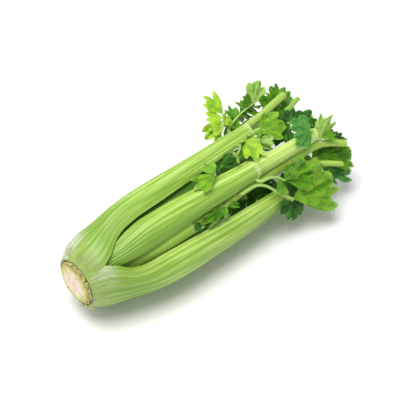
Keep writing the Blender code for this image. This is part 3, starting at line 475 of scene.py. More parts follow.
def stalk_ring(spec, x, shrink=0.0):
    """Points round a stalk at x as (place, height on the rib, rib number, inner side)."""
    mid, out, side, radius, half, thick, edge, rib = section(spec, x)
    radius -= shrink
    edge = max(edge - 2 * shrink, 0.4)
    thick -= 2 * shrink
    ribs = spec["ribs"]
    steps = ribs * RIB_STEPS
    half += (0.24 - (0.24 + 0.4 * edge) * hold((x - 24) / 16)) / radius
    seed = spec["joint"] * 1.37
    points = []
    for i in range(steps + 1):
        turn = i / RIB_STEPS
        a = half * (2 * i / steps - 1)
        crest = 2 * abs(math.sin(math.pi * turn)) ** 0.75 - 1
        own = 1 + RIB_UNEVEN * noise.noise(Vector((round(turn) * 2.7, seed, x / 90)))
        fine = FINE_RIB * math.cos(6 * math.pi * turn)
        ends = hold(min(turn, ribs - turn) * 2)
        wave = noise.noise(Vector((x / 26, turn / 2.4, seed + 5.0)))
        stray = noise.noise(Vector((turn * 0.9, x / 70, seed)))
        a += RIB_WANDER * half / ribs * stray * ends
        keel = spec.get("keel", 0.0) * math.exp(-((turn / ribs - 0.37) / 0.055) ** 2)
        r = radius + rib * ends * (crest * own + fine) + BACK_WAVE * wave * hold(radius / 12)
        r += keel * hold((x - 30) / 60)
        points.append((mid + out * (r * math.cos(a)) + side * (r * math.sin(a)),
                       0.5 + 0.5 * crest * ends, turn, 0.0))

    def lip(sign):
        c, s = math.cos(half * sign), math.sin(half * sign)
        radial, along = out * c + side * s, (side * c - out * s) * sign
        hub = mid + radial * (radius - edge / 2)
        arc = [hub + radial * (edge / 2 * math.cos(b)) + along * (edge * 0.4 * math.sin(b))
               for b in (math.pi * k / (LIP_STEPS + 1) for k in range(1, LIP_STEPS + 1))]
        edge_at = ribs if sign > 0 else 0
        return [(p, 0.75, edge_at, 0.3) for p in (arc if sign > 0 else arc[::-1])]

    wide = (radius - edge) * math.sin(half)
    low = (radius - edge) * math.cos(half)
    rise = radius - thick - low
    shallow = hold((radius / thick - 2) / 1.5)
    inner = []
    for i in range(INNER_STEPS + 1):
        u = 1 - 2 * i / INNER_STEPS
        flat = side * (u * wide) + out * (low + rise * (1 - u * u))
        r = radius - edge - (thick - edge) * (1 - u * u)
        bowed = side * (r * math.sin(u * half)) + out * (r * math.cos(u * half))
        inner.append((mid + flat.lerp(bowed, shallow), 0.6, ribs * (0.5 + 0.5 * u), 1.0))
    return points + lip(1) + inner + lip(-1)


def stalk_stations(spec):
    """Places along a stalk, close together at the foot, at the joint and at the cut."""
    joint, first, last = spec["joint"], spec["way"][0][0], spec["stem"][-1][0]
    places = [first, first + 0.5, first + 1.2, first + 2.2]
    while places[-1] < joint - 7:
        places.append(places[-1] + (2.5 if places[-1] < 70 else 5.0))
    places = [x for x in places if x < joint - 7] + [joint - k for k in (6, 4.5, 3, 2, 1)]
    places += [joint - 1 + 4.5 * (k / 9) ** 2 for k in range(1, 10)]
    while places[-1] < last - 5:
        places.append(places[-1] + 4.0)
    return places + [last - 1.2, last - 0.4, last]


def joined_ring(spec, x):
    """Ring at any x: across the joint the trough's ring passes into the stem's."""
    joint, last = spec["joint"], spec["stem"][-1][0]
    if joint - 1 < x < joint + 3.5:
        k = hold((x - joint + 1) / 4.5)
        k = 1 - (1 - k) ** 8
        below, above = stalk_ring(spec, joint - 1), stalk_ring(spec, joint + 3.5)
        return [(p[0].lerp(q[0], k), p[1], p[2], p[3]) for p, q in zip(below, above)]
    if x == spec["way"][0][0]:
        return [(p + Vector((0.7 * noise.noise(p * 0.35), 0, 0)), *rest)
                for p, *rest in stalk_ring(spec, x, 0.3)]
    return stalk_ring(spec, x, 0.35 if x == last else 0.0)


def rim_light(spec, x):
    """How much of the joint's pale rim shows at x: a pale step, partly a painted highlight."""
    joint = spec["joint"]
    return hold(1.3 - abs(x - joint + 0.8) / (1.8 if x < joint - 1 else 0.9))


def sleeve(bm, rings, marks):
    """Closed tube round rings of points: a grid bent into place, seam and ends closed.

    Each point of a ring is its place and the values kept under the names in marks.
    """
    around, along = len(rings[0]), len(rings) - 1
    uv = bm.loops.layers.uv.verify()
    layers = [bm.verts.layers.float.get(m) or bm.verts.layers.float.new(m) for m in marks]
    grid = bmesh.ops.create_grid(bm, x_segments=around, y_segments=along, size=0.5)["verts"]
    coords = {}
    for v in grid:
        i, j = round((v.co.x + 0.5) * around), round((v.co.y + 0.5) * along)
        p, *values = rings[j][i % around]
        coords[v] = (i, j)
        v.co = placed(p)
        for layer, value in zip(layers, values):
            v[layer] = value
    faces = {f for v in grid for f in v.link_faces}
    for face in faces:
        for loop in face.loops:
            i, j = coords[loop.vert]
            loop[uv].uv = (i / around, j / along)
    seam = [v for v in grid if coords[v][0] in (0, around)]
    bmesh.ops.remove_doubles(bm, verts=seam, dist=1e-7)
    rim = [e for f in faces if f.is_valid for e in f.edges if e.is_boundary]
    caps = bmesh.ops.holes_fill(bm, edges=list(set(rim)), sides=0)["faces"]
    whole = [f for f in faces if f.is_valid] + caps
    bmesh.ops.recalc_face_normals(bm, faces=whole)
    return caps


def fibre_group():
    """Long fibres: fine pale and dark streaks that run the length of a stalk."""
    group = bpy.data.node_groups.new("long fibres", "ShaderNodeTree")
    for socket in ("Across", "Along"):
        group.interface.new_socket(socket, in_out="INPUT", socket_type="NodeSocketFloat")
    for socket in ("Fibres", "Lines", "Patches"):
        group.interface.new_socket(socket, in_out="OUTPUT", socket_type="NodeSocketFloat")
    given = add(group, "NodeGroupInput").outputs
    out = add(group, "NodeGroupOutput")
    for name, across, along, detail in (("Fibres", 5.5, 22.0, 4.0), ("Lines", 2.3, 7.0, 1.0),
                                        ("Patches", 0.8, 14.0, 2.0)):
        drawn = add(group, "ShaderNodeCombineXYZ", {
            "X": times(given["Across"], across), "Y": times(given["Along"], along)})
        feed(out, {name: cloud(drawn.outputs["Vector"], 1.0, detail)})
    return group


FIBRES = fibre_group()


def waxy_bloom(along, rib, lines, across):
    """Mask of the pale wax on the foot: on the first ribs, and all over at the rear."""
    start = FOOT_X * MM
    rear = ranged(across, (AXIS_Y + 7) * MM, (AXIS_Y + 17) * MM)
    bloom = times(ranged(rib, 0.6, 3.2, 1.0, 0.05),
                  ranged(along, start + 0.002, start + 0.014, 0.0, 0.8))
    bloom = times(maths("MAXIMUM", bloom, rear),
                  ranged(along, start + 0.012, start + 0.032, 0.9, 0.0))
    return times(bloom, ranged(lines, 0.34, 0.56, 0.3, 1.0))


def stalk_skin(name, foot, body, top, groove, crest, inside, highlight_rib=0.0):
    """Waxy ribbed skin, pale at the foot and greener upward, lighter on each rib.

    The rib number given for the back line is where a painted highlight runs as one
    pale line along the back. The groove colour also serves as the painted shade.
    """
    material, tree, shader, place = shader_of(name)
    parts = sides(place)
    along = parts["X"]
    ridge, rib, inner, rim = (
        add(tree, "ShaderNodeAttribute", attribute_name=mark).outputs["Fac"]
        for mark in ("ridge", "rib", "inner", "rim"))
    streaks = add(tree, "ShaderNodeGroup", {"Across": rib, "Along": along}, node_tree=FIBRES)
    fibres, lines, patches = (streaks.outputs[s] for s in ("Fibres", "Lines", "Patches"))
    start = FOOT_X * MM
    shifted = shaken(along, fibres, 0.05)
    tone = ramp(ranged(shifted, start, start + 0.30), [
        (0.0, foot), (0.05, foot), (0.16, body), (0.55, body), (1.0, top)])
    crown = times(ranged(ridge, 0.6, 1.0), ranged(fibres, 0.40, 0.65, 0.0, 0.6))
    tone = coated(tone, [
        (ranged(ridge, 0.0, 0.35, 0.45, 0.0), groove),
        (crown, crest),
        (ranged(patches, 0.42, 0.66, 0.0, 0.55), groove),
        (ranged(patches, 0.34, 0.50, 0.5, 0.0), crest),
        (ranged(fibres, 0.52, 0.75, 0.0, 0.45), crest),
        (ranged(lines, 0.34, 0.47, 0.6, 0.0), groove),
        (ranged(lines, 0.54, 0.66, 0.0, 0.55), crest)])
    if highlight_rib:
        off = maths("ABSOLUTE", maths("SUBTRACT", rib, highlight_rib))
        painted_flank_shade = times(ranged(along, start + 0.19, start + 0.22, 0.5, 0.0),
                      ranged(rib, highlight_rib + 1.6, highlight_rib + 3.4))
        tone = coated(tone, [
            # painted highlight: one pale line along the back crest
            (ranged(off, 0.12, 0.5, 0.7, 0.0), crest),
            # painted shade on the ribs of the lower side, beyond that line
            (ranged(rib, highlight_rib + 0.2, highlight_rib + 3.0, 0.0, 0.45), groove),
            # more painted shade on that lower side, fading out toward the joint
            (painted_flank_shade, groove),
            # painted shade on the shoulder above the foot
            (ranged(shifted, start + 0.02, start + 0.14, 0.6, 0.0), foot),
            # painted light: lighter toward the upper end of the stem
            (ranged(along, start + 0.20, start + 0.22, 0.0, 0.5), crest)])
    else:
        # Painted shade: the lowest ribs, and the far lower parts that lie under the leaves.
        painted_leaf_shade = times(ranged(along, start + 0.14, start + 0.22, 0.0, 0.85),
                             ranged(parts["Z"], 0.036, 0.052, 1.0, 0.0))
        tone = coated(tone, [
            (ranged(rib, 6.0, 8.0, 0.0, 0.3), groove), (painted_leaf_shade, groove)])
    # Painted shade on the lower sides of every stalk, deeper the nearer they lie to the table.
    low = times(ranged(parts["Z"], 0.014, 0.046, 0.55, 0.0),
                ranged(shifted, start + 0.02, start + 0.08))
    bruised = times(ranged(cloud(place, 120.0, 3.0), 0.44, 0.62),
                    ranged(along, start + 0.002, start + 0.022, 0.8, 0.0))
    tone = coated(tone, [
        (low, groove),
        (times(inner, 0.8), inside),
        # pale rim at the joint, partly a painted highlight
        (times(rim, 0.75), (0.56, 0.72, 0.26)),
        # painted shade on the shoulder just above the foot
        (ranged(shifted, start + 0.030, start + 0.100, 0.5, 0.0), groove),
        (ranged(shifted, start - 0.004, start + 0.022, 0.7, 0.0), (0.34, 0.43, 0.11)),
        (waxy_bloom(shifted, rib, lines, parts["Y"]), (0.62, 0.67, 0.48)),
        (bruised, (0.26, 0.30, 0.10))])
    feed(shader, {
        "Base Color": tone, "Roughness": ranged(fibres, 0.3, 0.7, 0.30, 0.48),
        "Subsurface Weight": 0.12, "Subsurface Radius": (0.5, 1.0, 0.2),
        "Subsurface Scale": 0.004, "Coat Weight": 0.12, "Coat Roughness": 0.3,
        "Normal": relief(fibres, 0.55, 0.0004)})
    return material


def cut_flesh():
    """Wet pale flesh of a cut stem, with the pores of its strands."""
    material, _, shader, place = shader_of("cut stem")
    tone = ramp(cells(place, 700.0), [
        (0.12, (0.36, 0.50, 0.14)), (0.30, (0.62, 0.76, 0.34)), (0.6, (0.72, 0.82, 0.46))])
    dried = ranged(sides(place)["X"], (CUT_X + 15) * MM, (CUT_X + 25) * MM, 1.0, 0.0)
    feed(shader, {
        "Base Color": mix(dried, tone, (0.26, 0.27, 0.09)), "Roughness": 0.3})
    return material


CUT_FLESH = cut_flesh()
# Each stalk's surface in the head's own millimetres, from which the leafy stems spring.
SURFACES = {}


def stalk(name, spec, skin):
    """One stalk with its upper stem, in place of its plain node."""
    bm = bmesh.new()
    rings = []
    for x in stalk_stations(spec):
        light = rim_light(spec, x)
        rings.append([(*point, light) for point in joined_ring(spec, x)])
    for cap in sleeve(bm, rings, ("ridge", "rib", "inner", "rim")):
        cap.material_index = 1
        cap.smooth = False
    piece = finished(name, bm, [skin, CUT_FLESH], name, smooth=False)
    for polygon in piece.data.polygons:
        polygon.use_smooth = polygon.material_index == 0
    root = Vector((CUT_X, AXIS_Y, AXIS_HEIGHT))
    SURFACES[name] = BVHTree.FromPolygons([v.co / MM - root for v in piece.data.vertices],
                                          [p.vertices for p in piece.data.polygons])


OUTER_SKIN = stalk_skin("outer stalk skin", (0.25, 0.37, 0.035), (0.33, 0.52, 0.060),
                        (0.46, 0.66, 0.11), (0.16, 0.34, 0.012), (0.54, 0.73, 0.20),
                        (0.46, 0.60, 0.12))
for name, spec in OUTER_STALKS.items():
    stalk(name, dict(spec, layer=OUTER, ribs=9), OUTER_SKIN)


# Middle stalks: the next ring of leaf stalks, narrower and a little yellower.
# They rise out of the gaps between the outer ones with a strong crest along the
# back, and the front one carries the broad bare stem in the middle of the head.
MIDDLE = [(12.5, 24.8, 48, 2.6, 1.4), (16, 26.4, 42, 4.6, 1.8), (20, 23, 38, 6.2, 2.0),
          (26, 17, 42, 7.2, 2.1), (34, 15, 46, 7.8, 2.2), (44, 15, 51, 8.0, 2.2),
          (60, 15.8, 59, 8.4, 2.3), (80, 15.5, 69, 8.4, 2.5), (110, 14.6, 72, 8.2, 2.5),
          (150, 12.8, 75, 7.8, 2.4), (185, 11.6, 78, 7.6, 2.4), (240, 10.4, 80, 7.6, 2.4)]
KEEL = 1.0
MIDDLE_STALKS = {
    "stalk_middle_a": dict(
        girth=1.0, wrap=1.14, joint=208,
        way=[(12.5, 121, 24.8), (16, 121, 26.4), (20, 122, 28), (26, 123, 31),
             (34, 123.5, 34.2), (44, 123.5, 37.4), (60, 122, 42.8), (80, 120.5, 47),
             (110, 121, 48.5), (150, 123, 48.6), (185, 125, 48.2), (203, 126, 48)],
        stem=[(211.5, 126.7, 48, 8.2), (246, 128.4, 48.4, 7.6), (270, 129.4, 48.3, 7.0),
              (291, 129.8, 48, 6.5)]),
    "stalk_middle_b": dict(
        girth=0.94, wrap=1.0, joint=240,
        way=[(12.5, 254, 24.8), (16, 254, 26.4), (20, 254, 28), (26, 254, 31), (34, 253.5, 34.4),
             (44, 252.5, 38.2), (60, 250, 44.4), (80, 248.5, 49), (110, 248, 50.6),
             (150, 247.5, 50.6), (190, 247, 50.2), (234, 246, 49)],
        stem=[(243.5, 246, 45, 4.8), (270, 246, 44, 4.6), (298, 245, 43, 4.3)]),
    "stalk_middle_c": dict(
        girth=0.96, wrap=1.0, joint=234,
        way=[(12.5, 2, 24.8), (16, 2, 26.4), (20, 2, 28.5), (26, 3, 32), (34, 4, 35.4),
             (44, 5, 38.8), (60, 7, 43.4), (80, 8.5, 47.4), (110, 9, 49),
             (150, 9, 49), (190, 10, 48.4), (228, 11, 47.6)],
        stem=[(237.5, 12, 44, 4.8), (266, 13, 44, 4.6), (296, 14, 43.5, 4.3)]),
}
MIDDLE_SKIN = stalk_skin("middle stalk skin", (0.22, 0.39, 0.025), (0.31, 0.53, 0.040),
                         (0.60, 0.82, 0.18), (0.15, 0.33, 0.012), (0.62, 0.82, 0.22),
                         (0.46, 0.60, 0.12), highlight_rib=3.3)
for name, spec in MIDDLE_STALKS.items():
    stalk(name, dict(spec, layer=MIDDLE, ribs=9, keel=KEEL), MIDDLE_SKIN)


# Inner stalks and heart: slender young stalks, paler and smoother, that stand
# in the gaps and inside the head. One ends at a second joint with a cut stub
# beside it, and a heart stem comes out level at the leafy end.
INNER = [(22, 17.3, 46, 2.8, 1.4), (27, 17, 45, 4.6, 1.8), (34, 14, 52, 5.6, 2.0),
         (44, 11.5, 62, 6.2, 2.1), (60, 9.8, 72, 6.2, 2.1), (80, 9.2, 76, 6.2, 2.1),
         (100, 9, 78, 6.2, 2.1), (150, 8.4, 80, 6, 2.1), (240, 7, 84, 5.6, 2.0)]
HEART = [(33, 10.6, 60, 2.4, 1.2), (38, 10, 65, 3.6, 1.4), (50, 8.4, 78, 4.4, 1.5),
         (80, 8, 84, 4.8, 1.6), (120, 8.2, 86, 5, 1.6), (240, 7.4, 88, 4.8, 1.6)]
INNER_STALKS = {
    "stalk_inner_a": dict(
        girth=1.0, wrap=1.0, joint=121,
        way=[(22, 166, 17.3), (27, 165, 19.2), (34, 163, 23), (44, 160, 27.6), (60, 156, 33),
             (80, 153, 36.8), (100, 151.5, 38.4), (116, 151, 38.6)],
        stem=[(124.5, 150.5, 35.5, 4.4), (155, 149, 36, 4.3), (195, 146.5, 38.5, 4.2),
              (240, 146, 40.5, 4.2), (284, 145.5, 42, 4.4), (291, 146.5, 43, 4.6),
              (296, 149, 43.4, 3.7), (320, 164, 49, 3.5)]),
    "stalk_inner_b": dict(
        girth=0.94, wrap=1.0, joint=235,
        way=[(22, 68, 17.3), (27, 69, 19.2), (34, 73, 22.6), (44, 77, 26), (60, 81, 29.4),
             (80, 83, 31.4), (110, 83, 33), (160, 82, 34), (229, 80, 34.4)],
        stem=[(238.5, 78.5, 33.2, 3.8), (262, 68, 34.8, 3.6), (292, 57.5, 38, 3.4),
              (318, 51, 42, 3.1)]),
    "stalk_inner_c": dict(
        girth=0.95, wrap=1.0, joint=214,
        way=[(22, 292, 17.3), (27, 292, 19.2), (34, 291, 22.4), (44, 288, 25.6), (60, 284, 28.4),
             (80, 282, 29.6), (110, 280, 30), (160, 280, 30), (208, 280, 29.6)],
        stem=[(217.5, 280, 28, 4.2), (250, 279, 27, 4.0), (286, 278, 26, 3.7)]),
    "stalk_heart_a": dict(
        girth=1.0, wrap=1.0, joint=196,
        way=[(33, 35, 10.6), (38, 35, 11.8), (50, 30, 13.6), (80, 24, 15.6), (120, 20, 16.6),
             (190, 20, 17)],
        stem=[(199, 20, 16, 3.4), (250, 24, 16, 3.2), (296, 34, 17, 2.9)]),
    "stalk_heart_b": dict(
        girth=1.0, wrap=1.0, joint=190,
        way=[(33, 215, 10.6), (38, 215, 11.8), (50, 212, 14), (80, 207, 18.6), (120, 203, 24.4),
             (184, 200, 25.4)],
        stem=[(193, 194, 21, 3.6), (222, 160, 19.5, 3.4), (245, 154, 28, 3.2),
              (265, 163, 38, 3.1), (307, 182, 56, 2.9)]),
}
INNER_SKIN = stalk_skin("inner stalk skin", (0.36, 0.50, 0.09), (0.34, 0.57, 0.05),
                        (0.42, 0.64, 0.08), (0.16, 0.34, 0.015), (0.50, 0.70, 0.14),
                        (0.44, 0.60, 0.12))
# A darker copy of the inner skin with painted shade, for the stalks deep in the gaps; their tops
# stay light.
SHADED_SKIN = stalk_skin("shaded stalk skin", (0.20, 0.36, 0.06), (0.10, 0.28, 0.02),
                         (0.42, 0.64, 0.12), (0.05, 0.17, 0.01), (0.24, 0.45, 0.06),
                         (0.20, 0.38, 0.06))
for name, spec in INNER_STALKS.items():
    layer = HEART if "heart" in name else INNER
    skin = SHADED_SKIN if name in ("stalk_inner_b", "stalk_heart_a") else INNER_SKIN
    stalk(name, dict(spec, layer=layer, ribs=6), skin)


# Leaves at the upper rear edge: a young yellow-green spray and two green ones, one
# with a pale underside turned up. Each is a slender grooved stem, out of which grow
# toothed and veined leaflets 0.4 mm thick.
FRONT = 126.0
THIN = 0.4
COLUMNS = 6
VEIN = 0.42
VEINED_FROM = 14.0
STEM_GROOVE = 0.22
# An outline is half a leaflet from its middle tooth: share of its spread and of its
# reach, by turns at a tooth and at the nick beside it.
LARGE = [(0.0, 1.0), (0.12, 0.90), (0.24, 0.96), (0.38, 0.77), (0.53, 0.93),
         (0.67, 0.79), (0.82, 0.84), (1.0, 0.50)]
SMALL = [(0.0, 1.0), (0.17, 0.87), (0.36, 0.71), (0.57, 0.90), (0.79, 0.72), (1.0, 0.50)]
TINY = [(0.0, 1.0), (0.27, 0.74), (0.54, 0.92), (0.78, 0.71), (1.0, 0.52)]


def at(x, s, d):
    """A point x along the head, s across its upper front side and d out through that side."""
    a, b = math.radians(FRONT), math.radians(FRONT - 90.0)
    return Vector((x, s * math.cos(b) + d * math.cos(a), s * math.sin(b) + d * math.sin(a)))


class Blade:
    """The surface of one leaflet: a pleated, folded and bent fan in the head's frame."""

    def __init__(self, base, tip, up, spread, bend, fold, turn):
        self.base, self.turn = base, turn
        self.length = (tip - base).length
        self.along = (tip - base).normalized()
        self.up = (up - self.along * up.dot(self.along)).normalized()
        self.side = self.up.cross(self.along)
        self.spread, self.fold = math.radians(spread), math.radians(fold)
        self.curl = math.radians(bend) / self.length
        outline = LARGE if self.length > 34 else SMALL if self.length > 19 else TINY
        self.teeth = [(-a, r) for a, r in outline[:0:-1]] + outline

    def edge(self, c):
        """Share of the spread and reach of the margin at c, counted in half teeth."""
        i = min(int(c), len(self.teeth) - 2)
        f = c - i
        rows = []
        for k in (i, i + 1):
            share, reach = self.teeth[k]
            rows.append((share, reach * (1 + 0.07 * math.sin(2.3 * k + 1.7 * self.turn))))
        (a, low), (b, high) = rows
        bowed = f + 0.35 * f * (1 - f) * (1 if low < high else -1)
        nick = 0.036 * (1 - abs(2 * (3 * f % 1) - 1)) * min(f * (1 - f) * 8, 1)
        return a + (b - a) * f, (low + (high - low) * bowed + nick) * self.length

    def point(self, c, t, lift=0.0):
        """Place at c along the margin and t of the way out to it, raised by lift."""
        share, reach = self.edge(c)
        r = 0.7 + (reach - 0.7) * t
        angle = self.spread * share
        u, v = r * math.cos(angle), r * math.sin(angle)
        pleat = math.cos(math.pi * c) * 0.022 * r * min(r / self.length * 2, 1)
        wave = 0.055 * self.length * t * t * math.sin(1.9 * c + 2.1 * self.turn)
        puff = 0.75 * noise.noise(Vector((u / 3.5, v / 3.5, self.turn * 3.3)))
        crinkle = 0.22 * noise.noise(Vector((u / 1.3, v / 1.3, self.turn * 1.7)))
        w = pleat + wave + (puff + crinkle) * t + self.fold * abs(v) * 0.9 + lift
        x = math.sin(self.curl * u) * (1 / self.curl + w)
        z = math.cos(self.curl * u) * (1 / self.curl + w) - 1 / self.curl
        return self.base + self.along * x + self.side * v + self.up * z


def leaf_sheet(bm, blade):
    """Adds a leaflet's sheet: a grid drawn out into the blade's fan."""
    uv = bm.loops.layers.uv.verify()
    last = len(blade.teeth) - 1
    rows = max(6, round(blade.length / 2.4))
    grid = bmesh.ops.create_grid(bm, x_segments=last * COLUMNS, y_segments=rows, size=0.5)["verts"]
    coords = {}
    for v in grid:
        c, t = (v.co.x + 0.5) * last, v.co.y + 0.5
        coords[v] = ((c - last / 2) / 2, t)
        v.co = placed(blade.point(c, t))
    faces = list({f for v in grid for f in v.link_faces})
    for face in faces:
        for loop in face.loops:
            loop[uv].uv = coords[loop.vert]
    bmesh.ops.reverse_faces(bm, faces=faces)


def round_ring(p, ahead, radius, sides, number, groove=0.0):
    """Ring of a thin stem round p, with a shallow channel along its upper side."""
    ahead = ahead.normalized()
    side = ahead.cross(Vector((0.31, 0.2, 0.93))).normalized()
    up = side.cross(ahead)
    ring = []
    for j in range(sides):
        a = 2 * math.pi * j / sides
        dip = groove * max(math.sin(a), 0) ** 6
        reach = radius * (1 - dip)
        ring.append((p + side * (reach * math.cos(a)) + up * (reach * math.sin(a)),
                     1 - dip * 2, number + j * 0.7))
    return ring


def thickened(flat, skins):
    """A bmesh of the sheet with a leaf's thickness; its lower side takes the second skin."""
    mesh = bpy.data.meshes.new("sheet")
    flat.to_mesh(mesh)
    flat.free()
    for skin in skins:
        mesh.materials.append(skin)
    sheet = bpy.data.objects.new("sheet", mesh)
    bpy.context.scene.collection.objects.link(sheet)
    wall = sheet.modifiers.new("thickness", "SOLIDIFY")
    wall.thickness = THIN * MM
    wall.offset = 0.0
    wall.material_offset = 1
    view = bpy.context.evaluated_depsgraph_get()
    bm = bmesh.new()
    solid = bpy.data.meshes.new_from_object(sheet.evaluated_get(view))
    bm.from_mesh(solid)
    bpy.data.objects.remove(sheet)
    bpy.data.meshes.remove(solid)
    return bm


def ribbed(bm, blade):
    """Adds the raised veins of a leaflet: thin tapering ribs to the tips of its teeth."""
    last = len(blade.teeth) - 1
    thick = VEIN * hold(blade.length / 40, 0.35)
    for c in range(last // 2 % 2, last + 1, 2):
        reach = 0.94 if c == last // 2 else 0.86
        rings = []
        for k in range(9):
            t = 0.02 + (reach - 0.02) * k / 8
            p, ahead = blade.point(c, t, -0.16), blade.point(c, t + 0.02, -0.16)
            radius = thick * (1 - 0.82 * k / 8) * (1.0 if c == last // 2 else 0.75)
            rings.append(round_ring(p, ahead - p, radius, 6, c))
        sleeve(bm, rings, ("ridge", "rib"))


def leaf_stem(bm, way, start, end):
    """Adds a leafy stem: swollen where it leaves the stalk, grooved above, tapering."""
    rows, run = [], 0.0
    for i, p in enumerate(way):
        run += (p - way[i - 1]).length if i else 0.0
        rows.append((run, p.x, p.y, p.z))
    count = max(10, round(run / 1.2))
    rings = []
    for i in range(count + 1):
        u = run * i / count
        p, ahead = Vector(follow(rows, u)), Vector(follow(rows, u + 0.4))
        behind = Vector(follow(rows, u - 0.4))
        swell = 1 + 0.45 * math.exp(-u / 1.6)
        radius = (start + (end - start) * i / count) * swell
        rings.append(round_ring(p, ahead - behind, radius, 14, 0.0, STEM_GROOVE))
    tip = rings[-1]
    middle = sum((p for p, *_ in tip), Vector()) / len(tip)
    rings.append([(p.lerp(middle, 0.45) + (middle - behind).normalized() * 0.25, *rest)
                  for p, *rest in tip])
    sleeve(bm, rings, ("ridge", "rib"))


def spray(name, top, host, foot, way, widths, leaflets):
    """One leafy stem with its leaflets, in place of its plain node.

    The stem springs from its host stalk, where the line from the way's start toward the
    foot meets that stalk's surface. A leaflet is its base, its tip and where its upper
    face looks, then half its spread, its bend and its fold in degrees.
    """
    start, toward = at(*way[0]), at(*foot)
    direction = (toward - start).normalized()
    hit = SURFACES[host].ray_cast(start, direction)[0]
    if hit is None:
        hit = SURFACES[host].find_nearest(toward)[0]
    blades = [Blade(at(*base), at(*tip), at(*up), spread, bend, fold, i + len(name))
              for i, (base, tip, up, spread, bend, fold) in enumerate(leaflets)]
    skins = [top, UNDER_SKIN, STEM_SKIN]
    flat = bmesh.new()
    for blade in blades:
        leaf_sheet(flat, blade)
    bm = thickened(flat, skins)
    sheets = set(bm.faces)
    leaf_stem(bm, [hit + direction * 0.8] + [at(*p) for p in way], *widths)
    for blade in blades:
        if blade.length > VEINED_FROM:
            ribbed(bm, blade)
    for face in bm.faces:
        if face not in sheets:
            face.material_index = 2
    piece = finished(name, bm, skins, name)
    piece.data.set_sharp_from_angle(angle=math.radians(55))


def vein_group():
    """Veins of a leaflet from its UV map: one to each tooth, with side veins between."""
    group = bpy.data.node_groups.new("leaf veins", "ShaderNodeTree")
    group.interface.new_socket("UV", in_out="INPUT", socket_type="NodeSocketVector")
    for socket in ("Main", "Side", "Rim"):
        group.interface.new_socket(socket, in_out="OUTPUT", socket_type="NodeSocketFloat")
    given = add(group, "NodeGroupInput").outputs["UV"]
    out = add(group, "NodeGroupOutput")
    parts = sides(given)
    v, off = parts["Y"], maths("PINGPONG", parts["X"], 0.5)
    wide = times(off, maths("ADD", v, 0.12))
    slant = maths("SUBTRACT", times(v, 8.0), times(off, 3.4))
    feed(out, {
        "Main": ranged(wide, 0.012, 0.06, 1.0, 0.0),
        "Side": ranged(maths("PINGPONG", slant, 0.5), 0.05, 0.17, 1.0, 0.0),
        "Rim": ranged(v, 0.88, 1.0)})
    return group


VEINS = vein_group()


def leaf_side(name, blade, deep, vein, strength, rough):
    """One side of a leaf blade: mottled green with its veins lighter and sunk in."""
    material, tree, shader, place = shader_of(name)
    uv = add(tree, "ShaderNodeUVMap").outputs["UV"]
    veins = add(tree, "ShaderNodeGroup", {"UV": uv}, node_tree=VEINS).outputs
    patch, grain = cloud(place, 110.0, 3.0), cloud(place, 900.0, 2.0)
    tone = coated(blade, [
        (ranged(patch, 0.42, 0.60), deep),
        (ranged(grain, 0.4, 0.7, 0.0, 0.3), deep),
        (times(veins["Side"], strength * 0.5), vein),
        (times(veins["Main"], strength * 0.7), vein),
        (times(veins["Rim"], 0.45), vein)])
    sunk = maths("ADD", times(veins["Main"], -1.0), times(veins["Side"], -0.5))
    height = maths("ADD", sunk, times(grain, 0.5))
    feed(shader, {
        "Base Color": tone, "Roughness": ranged(grain, 0.3, 0.7, rough - 0.08, rough + 0.10),
        "Subsurface Weight": 0.15, "Subsurface Radius": (0.5, 1.0, 0.15),
        "Subsurface Scale": 0.002, "Specular IOR Level": 0.28,
        "Normal": relief(height, 0.6, 0.0003)})
    return material


def stem_skin():
    """Smooth pale skin of the leafy stems, with faint long fibres."""
    material, tree, shader, place = shader_of("leafy stem skin")
    along = sides(place)["X"]
    rib, ridge = (add(tree, "ShaderNodeAttribute", attribute_name=mark).outputs["Fac"]
                  for mark in ("rib", "ridge"))
    streaks = add(tree, "ShaderNodeGroup", {"Across": rib, "Along": along}, node_tree=FIBRES)
    tone = coated((0.30, 0.50, 0.09), [
        (ranged(streaks.outputs["Fibres"], 0.35, 0.65), (0.44, 0.63, 0.17)),
        (ranged(ridge, 0.55, 1.0, 0.6, 0.0), (0.17, 0.34, 0.04))])
    feed(shader, {
        "Base Color": tone,
        "Roughness": ranged(streaks.outputs["Patches"], 0.3, 0.7, 0.32, 0.45)})
    return material


STEM_SKIN = stem_skin()
UNDER_SKIN = leaf_side("pale under side", (0.32, 0.52, 0.09), (0.20, 0.40, 0.05),
                       (0.56, 0.74, 0.24), 0.7, 0.6)
YOUNG_SKIN = leaf_side("young leaf", (0.38, 0.62, 0.02), (0.20, 0.42, 0.01),
                       (0.56, 0.72, 0.16), 0.55, 0.45)
GREEN_SKIN = leaf_side("green leaf", (0.11, 0.32, 0.005), (0.04, 0.17, 0.002),
                       (0.28, 0.50, 0.045), 0.5, 0.45)
spray("spray_yellow_back", YOUNG_SKIN, "stalk_outer_a", foot=(212, 34, 16),
      way=[(213, 47, 12.5), (220, 53, 13.5), (229, 65, 13)], widths=(1.5, 1.1), leaflets=[
          ((229, 64.6, 13), (223, 90, 16), (0, 0, 1), 42, 28, 10),
          ((224, 59.4, 13.4), (196, 51.5, 14), (0, 0.1, 1), 32, 18, 10),
          ((221, 54.6, 13.4), (238, 60, 9), (0, -0.2, 1), 40, 10, 10),
          ((226, 62, 13), (209, 69, 14), (0, 0.2, 1), 46, 20, 10),
          ((218, 51.6, 13.2), (205, 58, 17), (0, 0.1, 1), 50, 18, 10)])
